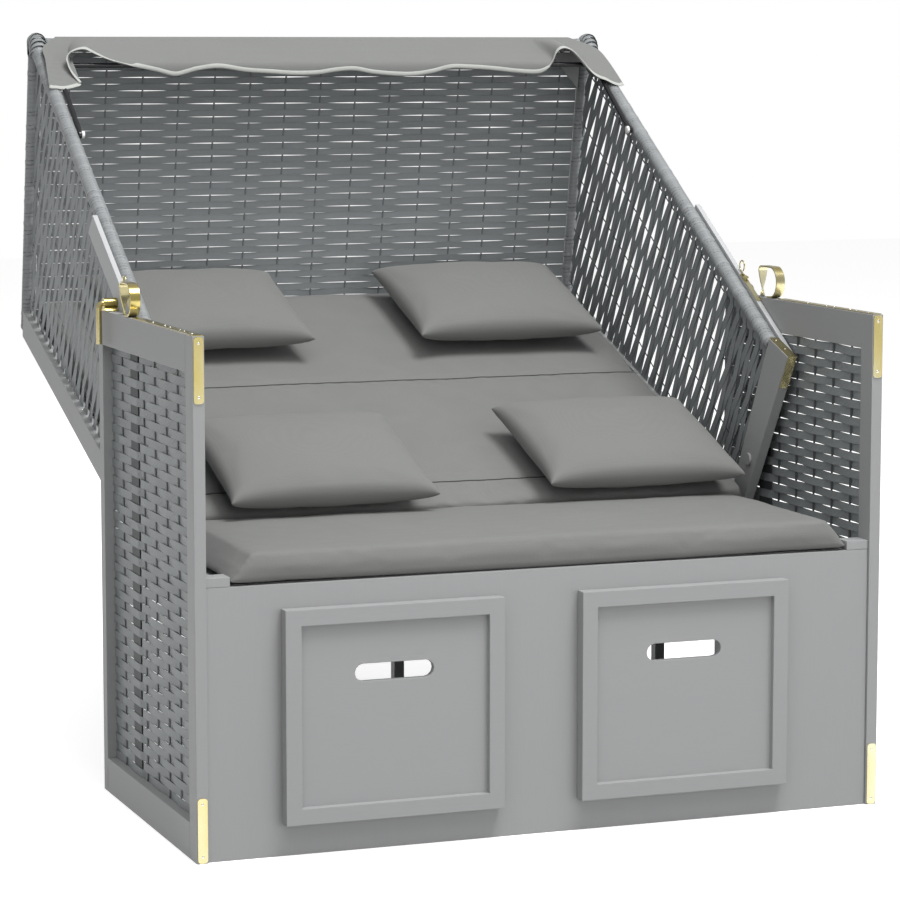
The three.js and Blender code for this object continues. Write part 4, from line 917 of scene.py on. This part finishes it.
# Loose strips that fan over each top front corner, from the front bar to the roof's side bar
def makeCornerLoops(loops):
    inward = (Vector((0, 1, -roofTan)).normalized() - Vector((0, 0, 1))).normalized()
    halfCorner = radians(90 - hoodShape["roofSlope"]) / 2
    inner = hoodMatrix @ (Vector((0, *roofFront)) + inward * barRadius / math.sin(halfCorner))
    radius = barRadius + loops["clear"] + loops["thickness"] / 2
    for side, sign in sides.items():
        points, faces = [], []
        for lean, top in zip(loops["leans"], loops["tops"]):
            out = Vector((0, -math.sin(radians(lean)), math.cos(radians(lean))))
            centre = top - radius
            arc = [(-radius * math.cos(turn), centre + radius * math.sin(turn))
                   for turn in (pi * k / loops["arcSteps"] for k in range(loops["arcSteps"] + 1))]
            path = [(-radius, loops["foot"]), (-radius, centre * 0.5), *arc,
                    (radius, centre * 0.5), (radius, loops["foot"])]
            line = [inner + Vector((sign * hoodShape["barX"] + x, 0, 0)) + out * far for x, far in path]
            rings = ribbonRings(line, Vector((1, 0, 0)).cross(out), loops["width"], loops["thickness"])
            faces += [tuple(index + len(points) for index in face) for face in ringFaces(rings)]
            points += sum(rings, [])
        mesh = facedOut(meshOf("corner_loops_" + side, points, faces))
        newPiece("corner_loops_" + side, mesh, "hood", [barStrand, stakeDark])
        # The narrow edges of the strips take the dark stake material, as painted shade
        for polygon in mesh.polygons:
            polygon.material_index = 1 if polygon.index % 4 in (0, 2) else 0


makeBars(barShape)
makeCornerLoops(cornerLoops)
print("bars and corner loops made")


# Cushions
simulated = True


def evaluatedMesh(holder):
    mesh = bpy.data.meshes.new_from_object(holder.evaluated_get(bpy.context.evaluated_depsgraph_get()))
    bpy.data.objects.remove(holder)
    return mesh


# Lets the cover fill out under pressure, and holds each point within a limit of where it began
def clothPuff(mesh, setting, pinned):
    if not simulated:
        return
    rest = [vertex.co.copy() for vertex in mesh.vertices]
    holder = linked(mesh.name + "Cover", mesh)
    modifier = holder.modifiers.new("cover", "CLOTH")
    modifier.collision_settings.use_collision = False
    cloth = modifier.settings
    cloth.quality, cloth.mass, cloth.use_pressure = setting["quality"], 0.25, True
    cloth.uniform_pressure_force = setting["pressure"]
    cloth.tension_stiffness = cloth.compression_stiffness = setting["stiffness"]
    cloth.shear_stiffness, cloth.bending_stiffness = setting["stiffness"] / 2, setting["bending"]
    cloth.shrink_min, cloth.effector_weights.gravity = setting["shrink"], 0
    if pinned:
        group = holder.vertex_groups.new(name="pinned")
        group.add([i for i, point in enumerate(rest) if pinned(point)], 1, "REPLACE")
        cloth.vertex_group_mass = "pinned"
    for number in range(1, setting["frames"] + 1):
        bpy.context.scene.frame_set(number)
    evaluated = holder.evaluated_get(bpy.context.evaluated_depsgraph_get())
    moved = [vertex.co.copy() for vertex in evaluated.to_mesh().vertices]
    evaluated.to_mesh_clear()
    holder.modifiers.clear()
    for vertex, start, end in zip(mesh.vertices, rest, moved):
        step = end - start
        if step.length > setting["limit"]:
            step *= setting["limit"] / step.length
        vertex.co = start + step
    bpy.context.scene.frame_set(1)
    bpy.data.objects.remove(holder)


def boxOf(mesh):
    return [Vector([pick(vertex.co[axis] for vertex in mesh.vertices) for axis in range(3)])
            for pick in (min, max)]


# Scales a mesh evenly along each axis into a box
def fitTo(mesh, low, high):
    meshLow, meshHigh = boxOf(mesh)
    for vertex in mesh.vertices:
        for a in range(3):
            share = (vertex.co[a] - meshLow[a]) / (meshHigh[a] - meshLow[a])
            vertex.co[a] = low[a] + share * (high[a] - low[a])


# Copy of a mesh after smooth subdivision
def refined(mesh):
    holder = linked(mesh.name + "Fine", mesh)
    holder.modifiers.new("fine", "SUBSURF").levels = 1
    return evaluatedMesh(holder)


pillowShape = {
    "columns": 44, "rows": 38, "loft": 0.98, "fullness": 0.36, "edgeDraw": 0.008, "ripple": 0.004,
    "rippleOften": 2.2, "even": 0.6,           # share of the grid's spacing that is even
    "rise": 0.007, "gap": 0.0005,              # how much fuller the cover is than its solid
    "quality": 6, "pressure": 6.0, "stiffness": 14, "bending": 0.9, "shrink": -0.004, "frames": 12,
    "limit": 0.0035,
}


# Knife-edged pillow cover with its seam round the middle, in a box centred on the origin
def pillowMesh(name, size, shape, seed):
    columns, rows, draw = shape["columns"], shape["rows"], shape["edgeDraw"]
    points, faces, indices = [], [], {}
    for layer in (1, -1):
        for j in range(rows + 1):
            for i in range(columns + 1):
                if layer < 0 and (i in (0, columns) or j in (0, rows)):
                    indices[layer, i, j] = indices[1, i, j]
                    continue
                a, b = (math.sin(value * pi / 2) * (1 - shape["even"]) + value * shape["even"]
                        for value in (2 * i / columns - 1, 2 * j / rows - 1))
                hump = (1 - a ** 2) * (1 - b ** 2)
                half = shape["loft"] * size.y / 2 * hump ** shape["fullness"]
                spot = Vector((a * shape["rippleOften"], b * shape["rippleOften"], seed))
                ripple = noise.noise(spot) * shape["ripple"] * hump
                indices[layer, i, j] = len(points)
                points.append((a * (size.x / 2 - draw * (1 - b ** 4)), ripple - layer * half,
                               b * (size.z / 2 - draw * (1 - a ** 4))))
        for j in range(rows):
            for i in range(columns):
                quad = [indices[layer, i + di, j + dj] for di, dj in ((0, 0), (1, 0), (1, 1), (0, 1))]
                faces.append(tuple(quad if layer > 0 else reversed(quad)))
    return meshOf(name, points, faces)


def makePillow(node, seed, flattening):
    solid = frame["nodes"][node].data.copy()
    solid.transform(backMatrix.inverted())
    low, high = boxOf(solid)
    bpy.data.meshes.remove(solid)
    low.y -= pillowShape["rise"]
    centre, inset = (low + high) / 2, Vector((pillowShape["gap"],) * 3)
    mesh = pillowMesh(node + "_cover", high - low, pillowShape, seed)
    clothPuff(mesh, pillowShape, None)
    fitTo(mesh, low - centre + inset, high - centre - inset)
    fine = refined(mesh)
    fitTo(fine, low - centre + inset, high - centre - inset)
    fine.transform(backMatrix @ Matrix.Translation(centre))
    piece = newPiece(node + "_cover", facedOut(fine), "hood", [fabricBack], [node], smooth=70)
    if flattening:
        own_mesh(piece)


# Seat and back cushions: the axis they are thin along, the side that shows, and the heights of their seams
blockShape = {
    "seat_cushion": {"body": "seat_box", "thin": 2, "shown": 1, "seams": (), "step": 0.0065, "quality": 5,
                     "pressure": 2.6, "stiffness": 12, "bending": 0.8, "shrink": -0.02, "frames": 14,
                     "limit": 0.0035},
    "back_mattress": {"body": "hood", "thin": 1, "shown": -1, "seams": (0.0565, 0.465), "step": 0.0102,
                      "quality": 5, "pressure": 2.2, "stiffness": 12, "bending": 1.0, "shrink": -0.012,
                      "frames": 14, "limit": 0.004},
}
seamShape = {"reach": 0.522, "radius": 0.0014, "sink": 0.0001, "pinned": 0.004, "steps": 120}
# How often and how high the cover swells, and how small the block is before it fills out
coverShape = {"swells": ((9, 0.0016), (31, 0.0005)), "start": 0.995}


# Stitched seams that lie across the top of a cushion
def seamTubes(mesh, seams):
    tree = BVHTree.FromPolygons([vertex.co for vertex in mesh.vertices],
                                [tuple(polygon.vertices) for polygon in mesh.polygons])
    tubes = []
    for seam in seams:
        starts = (Vector((seamShape["reach"] * (2 * k / seamShape["steps"] - 1), -1, seam))
                  for k in range(seamShape["steps"] + 1))
        hits = [tree.ray_cast(start, Vector((0, 1, 0)))[0] for start in starts]
        path = [hit - Vector((0, seamShape["sink"], 0)) for hit in hits if hit]
        tubes.append(sweptMesh("seam", path, seamShape["radius"], 6))
    return tubes


def makeBlock(node, place, material):
    shape = blockShape[node]
    thin, shown, seams = shape["thin"], shape["shown"], shape["seams"]
    mesh = finished(mergedCopy(node), node + "_cover")
    mesh.transform(place.inverted())
    low, high = boxOf(mesh)
    holder = linked(node + "Block", mesh)
    modifier = holder.modifiers.new("even", "REMESH")
    modifier.mode, modifier.voxel_size = "VOXEL", shape["step"]
    even = evaluatedMesh(holder)
    even.name = node + "_cover"
    middle = (low + high) / 2
    for vertex in even.vertices:
        swell = sum(noise.noise(vertex.co * often) * high for often, high in coverShape["swells"])
        offset = vertex.co - middle
        vertex.co = middle + offset * coverShape["start"]
        if offset[thin] * shown > 0:
            vertex.co[thin] += swell
    near = seamShape["pinned"]
    clothPuff(even, shape, seams and (lambda point: min(abs(point.z - seam) for seam in seams) < near))
    fine = refined(even)
    fitTo(fine, low, high)
    fine = facedOut(fine)
    plain = len(fine.polygons)
    if seams:
        fine = joined(node + "_cover", [fine, *seamTubes(fine, seams)])
    fine.transform(place)
    piece = newPiece(node + "_cover", fine, shape["body"], [material, seamThread], [node],
                     smooth=80)
    for polygon in fine.polygons[plain:]:
        polygon.material_index = 1
    print(node, len(fine.polygons), "faces")


# Axis, point near their foot and share for flattening the front pillows along the hood's depth when the hood
# tilts up; makePillow only gives those pillows a mesh of their own
frontSquash = (backMatrix.to_3x3() @ Vector((0, 1, 0)), backMatrix @ Vector((0, -0.078, 0.07)), 0.35)
makeBlock("seat_cushion", Matrix(), fabric)
makeBlock("back_mattress", backMatrix, fabricBack)
for node, seed, flattening in (("pillow_rear_left", 0, None), ("pillow_rear_right", 1, None),
                               ("pillow_front_left", 5, frontSquash),
                               ("pillow_front_right", 6, frontSquash)):
    makePillow(node, seed, flattening)
print("cushions made")


# Awning
awningShape = {
    # Hem of the cloth in millimetres, from its left flap to its right one
    "hem": ((-559, 389, 1187), (-554, 386, 1185), (-543, 386, 1184), (-528, 387, 1184), (-512, 391, 1187),
            (-499, 397, 1191), (-502, 401, 1197), (-509, 407, 1207), (-514, 413, 1217), (-517, 419, 1228),
            (-518, 424, 1238), (-512, 428, 1247), (-499, 431, 1253), (-482, 433, 1255), (-467, 435, 1249),
            (-451, 437, 1242), (-432, 439, 1235), (-413, 441, 1230), (-379, 443, 1222), (-345, 443, 1215),
            (-311, 443, 1207), (-288, 443, 1211), (-265, 443, 1217), (-224, 443, 1221), (-172, 443, 1214),
            (-126, 443, 1211), (-79, 443, 1208), (-32, 443, 1209), (3, 443, 1214), (39, 443, 1216),
            (75, 443, 1210), (122, 443, 1206), (159, 443, 1206), (195, 443, 1211), (231, 443, 1219),
            (268, 443, 1219), (317, 443, 1216), (366, 443, 1211), (403, 443, 1209), (421, 443, 1212),
            (433, 441, 1222), (440, 439, 1235), (447, 436, 1250), (458, 433, 1257), (472, 431, 1254),
            (483, 428, 1245), (494, 423, 1232), (503, 415, 1218), (511, 405, 1207), (520, 397, 1200),
            (530, 391, 1196), (543, 387, 1189), (558, 387, 1185), (567, 393, 1187)),
    "railHalf": 0.510, "archHalf": 0.452,      # half widths on the rail, at the ends and at the arches
    "edgeHalf": 0.536, "thickness": 0.0014, "clear": 0.0012, "columns": 300, "rows": 30, "railRows": 6,
    "railTurn": 70, "railStep": 16,            # where the cloth lies on the rail, in degrees from its top
    "hemHeight": 0.0085, "hemThickness": 0.0032, "hemSteps": 12, "rodRadius": 0.0045,
    "archFrom": 0.4, "flapCurve": 0.8,         # where the arches are looked for, how the flaps widen
    "bowHalf": 0.46, "bowBelow": 0.012, "bowFade": 0.020,              # where the cloth lies on the bow
    "overBow": (0.995, -0.003, 0.0068),        # share of the hem's width, and the place from the bow's top
    "offBow": (0.65, -0.001, 0.010),           # the same where the cloth hangs free of the bow
    "freeRise": 0.006, "sag": (0.002, 0.005), "flare": 0.55, "railReach": 0.012,
}


# Point of a smooth curve through evenly spaced points, at a place from 0 to 1
def splinePoint(points, place):
    spot = place * (len(points) - 1)
    index = min(int(spot), len(points) - 2)
    share = spot - index
    before, start, end, after = (points[max(0, min(len(points) - 1, index + k))] for k in (-1, 0, 1, 2))
    return (start * 2 + (end - before) * share + (before * 2 - start * 5 + end * 4 - after) * share ** 2
            + (start * 3 - before - end * 3 + after) * share ** 3) * 0.5


# Points at even distances along a smooth curve
def evenlySpread(points, count):
    fine = [splinePoint(points, i / (count * 6)) for i in range(count * 6 + 1)]
    lengths = [0]
    for first, second in zip(fine, fine[1:]):
        lengths.append(lengths[-1] + (second - first).length)
    result, index = [], 0
    for i in range(count + 1):
        target = lengths[-1] * i / count
        while index < len(lengths) - 2 and lengths[index + 1] < target:
            index += 1
        share = (target - lengths[index]) / max(lengths[index + 1] - lengths[index], 1e-9)
        result.append(fine[index].lerp(fine[index + 1], min(max(share, 0), 1)))
    return result


# The point, lifted onto a bar of a given radius where it lies under or inside its upper side
def draped(point, start, along, over, radius):
    offset = point - start
    reach = radius ** 2 - offset.dot(along.cross(over)) ** 2
    if reach <= 0:
        return point
    return point + over * max(math.sqrt(reach) - offset.dot(over), 0)


# Columns of points from the roof's front rail over the bow, or over a bar, to the hem
def clothGrid(shape):
    count, archHalf = shape["columns"], shape["archHalf"]
    hem = evenlySpread([Vector(point) / 1000 for point in shape["hem"]], count)
    arches = [max((i for i in range(count + 1) if hem[i].x * sign > shape["archFrom"]),
                  key=lambda i: hem[i].z) for sign in (-1, 1)]
    railAxis = hoodMatrix @ Vector((0, *roofFront))
    lift = barRadius + shape["clear"] + shape["thickness"] / 2
    bowHigh = frameBox["awning_bow"][1]
    bowY, bowZ = bowHigh.y - shape["rodRadius"], bowHigh.z - shape["rodRadius"]
    hoodTurn = hoodMatrix.to_3x3()
    barDown, barOver = hoodTurn @ Vector((0, 0, -1)), hoodTurn @ Vector((0, -1, 0))
    railOver = Vector((0, -0.3, 1)).normalized()
    turns = [radians(shape["railTurn"] - shape["railStep"] * k) for k in range(shape["railRows"])]
    (overShare, overY, overZ), (freeShare, freeY, freeZ) = shape["overBow"], shape["offBow"]
    grid = []
    for i, end in enumerate(hem):
        beyond = max((arches[0] - i) / arches[0], (i - arches[1]) / (count - arches[1]), 0)
        sign = 1 if i > count / 2 else -1
        railX = sign * (archHalf + (shape["railHalf"] - archHalf) * beyond)
        spreadX = sign * (archHalf + (shape["edgeHalf"] - archHalf) * beyond ** shape["flapCurve"])
        if arches[0] < i < arches[1]:
            railX = end.x * archHalf / abs(hem[arches[0] if sign < 0 else arches[1]].x)
        rail = [Vector((railX, railAxis.y + lift * math.sin(turn), railAxis.z + lift * math.cos(turn)))
                for turn in turns]
        nearBow = 1 - min(max((end.z - bowZ + shape["bowBelow"]) / shape["bowFade"], 0), 1)
        nearBow *= abs(end.x) < shape["bowHalf"]
        over = Vector((end.x * overShare, bowY + overY, bowZ + overZ))
        free = Vector((spreadX * (1 - freeShare) + end.x * freeShare, bowY + freeY,
                       max(end.z + shape["freeRise"], bowZ + freeZ)))
        bent = free.lerp(over, nearBow)
        middle = rail[-1].lerp(bent, 0.5) + Vector((0, 0, shape["sag"][0] - shape["sag"][1] * nearBow))
        middle.x += (spreadX - railX) * shape["flare"] if beyond > 0 else 0
        path = [splinePoint([rail[-1], middle, bent, end], k / shape["rows"])
                for k in range(1, shape["rows"] + 1)]
        for side in (-1, 1):
            start = railAxis + Vector((side * hoodShape["barX"], 0, 0))
            path = [draped(point, start, barDown, barOver, lift)
                    if abs(point.y - railAxis.y) > shape["railReach"] else point for point in path]
        grid.append(rail + [draped(point, railAxis, Vector((1, 0, 0)), railOver, lift) for point in path])
    return grid


# Closed sheet of even thickness round a grid of points, and its area
def sheetMesh(name, grid, thickness):
    columns, rows = len(grid), len(grid[0])
    middle = meshOf(name, sum(grid, []), [(a + j, a + j + 1, a + rows + j + 1, a + rows + j)
                                          for a in range(0, (columns - 1) * rows, rows)
                                          for j in range(rows - 1)])
    area = sum(polygon.area for polygon in middle.polygons)
    count = len(middle.vertices)
    points = [vertex.co + vertex.normal * (thickness / 2 * side)
              for side in (1, -1) for vertex in middle.vertices]
    faces = [tuple(polygon.vertices) for polygon in middle.polygons]
    faces += [tuple(count + index for index in reversed(face)) for face in faces]
    border = [i * rows for i in range(columns)] + [(columns - 1) * rows + j for j in range(1, rows)]
    border += [i * rows + rows - 1 for i in reversed(range(columns - 1))]
    border += reversed(range(1, rows - 1))
    faces += [(first, second, count + second, count + first)
              for first, second in zip(border, border[1:] + border[:1])]
    bpy.data.meshes.remove(middle)
    return facedOut(meshOf(name, points, faces)), area


# Rounded paler band wrapped round the cloth's lower edge
def hemMesh(name, grid, shape):
    height, thickness, steps = shape["hemHeight"], shape["hemThickness"], shape["hemSteps"]
    ends = [column[-1] for column in grid]
    rings = []
    for column, before, end, after in zip(grid, ends[:1] + ends, ends, ends[1:] + ends[-1:]):
        along = (after - before).normalized()
        out = along.cross((end - column[-4]).normalized()).normalized()
        down = out.cross(along).normalized()
        centre = end - down * (height * 0.35)
        rings.append([centre + down * (math.cos(turn) * height / 2) + out * (math.sin(turn) * thickness / 2)
                      for turn in (2 * pi * k / steps for k in range(steps))])
    return facedOut(meshOf(name, sum(rings, []), ringFaces(rings)))


# Piece of cloth between the hood and the awning's bow, with its placement baked into its mesh
def blended(name, mesh, material):
    piece = linked(name, mesh)
    mesh.materials.append(material)
    shadeByAngle(mesh, 60)
    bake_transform(piece)
    return piece


def makeAwning(shape):
    grid = clothGrid(shape)
    mesh, area = sheetMesh("awning_sheet", grid, shape["thickness"])
    cloth = blended("awning_sheet", mesh, awningFabric)
    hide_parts("awning_cloth")
    hem = blended("awning_hem", hemMesh("awning_hem", grid, shape), paleEdgeFabric)
    print("awning area", round(area, 4))


makeAwning(awningShape)
print("awning made")


# Brass fittings, the awning's bow and screws
strapShape = {"steps": 40, "bendSteps": 10, "width": 0.0170, "thickness": 0.0024, "rear": -0.1946,
              "span": 0.044, "bend": 0.008, "tail": 0.010}
bowShape = {"steps": 12, "armX": 0.530, "bend": 0.012, "top": (0.4507, 1.2250), "knobRadius": 0.0069,
            "white": (0.5232, 0.5286), "black": (0.5286, 0.5345),
            "rim": 0.12, "rimShare": 0.86}     # how far a collar's rounding runs, and its radius there


# Flat strap whose rear leg is twisted a quarter turn, and whose front curls down and back
def makeStrap(side, shape):
    low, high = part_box("strap_loop_" + side)
    steps, bend, rear, half = shape["steps"], shape["bend"], shape["rear"], shape["width"] / 2
    flat = shape["thickness"] / 2
    top = high.z - flat
    curl = (top - low.z - flat) / 2
    legTop, front = top - bend, rear - shape["span"]
    path = [(rear, low.z + (legTop - low.z) * i / steps) for i in range(steps + 1)]
    path += [(rear - bend + bend * math.cos(turn), legTop + bend * math.sin(turn))
             for turn in (pi / 2 * k / shape["bendSteps"] for k in range(1, shape["bendSteps"] + 1))]
    path += [(front - curl * math.sin(turn), top - curl + curl * math.cos(turn))
             for turn in (pi * k / steps for k in range(steps + 1))]
    path.append((front + shape["tail"], top - 2 * curl))
    points = [Vector(((low.x + high.x) / 2, y, z)) for y, z in path]
    corners = [(-half, -flat * 0.5), (-half * 0.95, -flat), (half * 0.95, -flat), (half, -flat * 0.5),
               (half, flat * 0.5), (half * 0.95, flat), (-half * 0.95, flat), (-half, flat * 0.5)]
    across = Vector((1, 0, 0))
    rings = []
    for i, (before, point, after) in enumerate(zip(points[:1] + points, points, points[1:] + points[-1:])):
        out = (after - before).normalized().cross(across)
        twist = pi / 2 * max(1 - i / steps, 0)
        rings.append([point + across * (a * math.cos(twist) - b * math.sin(twist))
                      + out * (a * math.sin(twist) + b * math.cos(twist)) for a, b in corners])
    name = f"strap_loop_{side}_bent"
    mesh = facedOut(meshOf(name, sum(rings, []), ringFaces(rings)))
    newPiece(name, mesh, "seat_box", [brass], ["strap_loop_" + side], smooth=50)


# Bent rod with a white and a black collar at each end
def makeBow(shape):
    armX, bend, steps = shape["armX"], shape["bend"], shape["steps"]
    along = Vector((0, *shape["top"])) - bowPivot
    reach = along.length
    along.normalize()
    turns = [pi / 2 * k / steps for k in range(steps + 1)]
    flat = [(-armX, 0.0)] + [(-armX + bend - bend * math.cos(turn), reach - bend + bend * math.sin(turn))
                             for turn in turns]
    flat += [(armX - bend + bend * math.sin(turn), reach - bend + bend * math.cos(turn)) for turn in turns]
    flat.append((armX, 0.0))
    base = Vector((0, bowPivot.y, bowPivot.z))
    path = [base + Vector((x, 0, 0)) + along * far for x, far in flat]
    parts = [sweptMesh("awning_rod", path, awningShape["rodRadius"], 16)]
    slots = [0] * len(parts[0].polygons)
    for sign in (-1, 1):
        for slot, (low, high) in ((1, shape["white"]), (0, shape["black"])):
            path = [base + Vector((sign * (low + (high - low) * share), 0, 0))
                    for share in (0, shape["rim"], 1 - shape["rim"], 1)]
            radii = [shape["knobRadius"] * share for share in (shape["rimShare"], 1, 1, shape["rimShare"])]
            parts.append(sweptMesh("knob", path, radii, 20))
            slots += [slot] * len(parts[-1].polygons)
    mesh = facedOut(joined("awning_rod", parts))
    newPiece("awning_rod", mesh, "awning_bow", [blackMetal, whitePlastic], ["awning_bow"],
             smooth=50)
    for polygon, slot in zip(mesh.polygons, slots):
        polygon.material_index = slot


# A flat dome on each point, turned the way that the point's attribute says
def screwHeads(wires, given):
    ball = wires.call("GeometryNodeMeshUVSphere", Segments=10, Rings=5, Radius=given["Radius"])
    flattened = wires.call("GeometryNodeTransform", Geometry=ball,
                           Scale=wires.combine(1.0, 1.0, given["Height"]))
    turned = wires.call("FunctionNodeAlignRotationToVector", {"axis": "Z"},
                        Vector=wires.named("facing", "FLOAT_VECTOR"))
    spread = wires.call("GeometryNodeInstanceOnPoints", Points=given["Geometry"], Instance=flattened,
                        Rotation=turned)
    plain = wires.call("GeometryNodeRealizeInstances", Geometry=spread)
    return {"Geometry": wires.call("GeometryNodeSetMaterial", Geometry=plain, Material=given["Steel"])}


screwTree = newTree("screwHeads", "GeometryNodeTree", {
    "Geometry": "Geometry", "Radius": 0.0024, "Height": 0.45, "Steel": "Material"}, screwHeads)


# One mesh of the screw heads on a body, at places given with the way they face
def makeScrews(body, places):
    base = meshOf(body + "Places", [place for place, facing in places], [])
    base.attributes.new("facing", "FLOAT_VECTOR", "POINT").data.foreach_set(
        "vector", [number for place, facing in places for number in facing])
    mesh = meshFromTree(screwTree, {"Steel": screwSteel}, body + "_screws", base)
    newPiece(body + "_screws", mesh, body, [], smooth=60)


# First point of a CAD solid met from a place of a panel along its depth, and the way its surface faces
def surfaceUnder(node, matrix, place):
    mesh = frame["nodes"][node].data
    tree = BVHTree.FromPolygons([vertex.co for vertex in mesh.vertices],
                                [tuple(polygon.vertices) for polygon in mesh.polygons])
    hit, normal = tree.ray_cast(matrix @ Vector(place), matrix.to_3x3() @ Vector((0, 1, 0)))[:2]
    return [(hit, normal)] if hit else []


screwPlaces = {
    "arm": (-0.3707, -0.4407, -0.4697, -0.5267, -0.5487, -0.5927),     # along the arm strips
    "post": 0.010,           # from each end of the post strips
    "edge": (0.030, 0.066),  # up the hood's edge strips
    "rail": [0.10 + 0.068 * number for number in range(12)],           # up the back side rails
}


def seatScrews(places):
    found = []
    for side in sides:
        low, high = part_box("arm_strip_" + side)
        found += [(((low.x + high.x) / 2, y, high.z), (0, 0, 1)) for y in places["arm"]]
        for level in ("lower", "upper"):
            low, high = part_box(f"post_strip_{level}_{side}")
            found += [(((low.x + high.x) / 2, low.y, z), (0, -1, 0))
                      for z in (low.z + places["post"], high.z - places["post"])]
    return found


def hoodScrews(places):
    found = []
    for side in sides:
        boardX, railX = (sum(corner.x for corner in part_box(node + side)) / 2
                         for node in ("side_board_", "back_side_rail_"))
        for height in places["edge"]:
            start = (boardX, edgeY - 0.2, footZ + height)
            found += surfaceUnder("board_edge_strip_" + side, hoodMatrix, start)
        for height in places["rail"]:
            found += surfaceUnder("back_side_rail_" + side, backMatrix, (railX, -0.3, height))
    return found


for side in sides:
    makeStrap(side, strapShape)
makeBow(bowShape)
# The pivot bushings take the metal darkened as painted shade
for name, body, material, slotName in (("bolt_barrel", "seat_box", brass, "brass"),
                                       ("locking_bolt", "locking_bolt_", brass, "brass"),
                                       ("ring_clip", "hood", brass, "brass"),
                                       ("pivot_bolt", "seat_box", woodUp, "dark_metal"),
                                       ("pivot_bushing", "seat_box", greyMetal, "dark_metal")):
    for side in sides:
        node = f"{name}_{side}"
        owner = body + side if body.endswith("_") else body
        newPiece(node + "_turned", finished(mergedCopy(node), node + "_turned"), owner, [material],
                 [node], smooth=50)
makeScrews("seat_box", seatScrews(screwPlaces))
makeScrews("hood", hoodScrews(screwPlaces))
print("fittings and screws made")
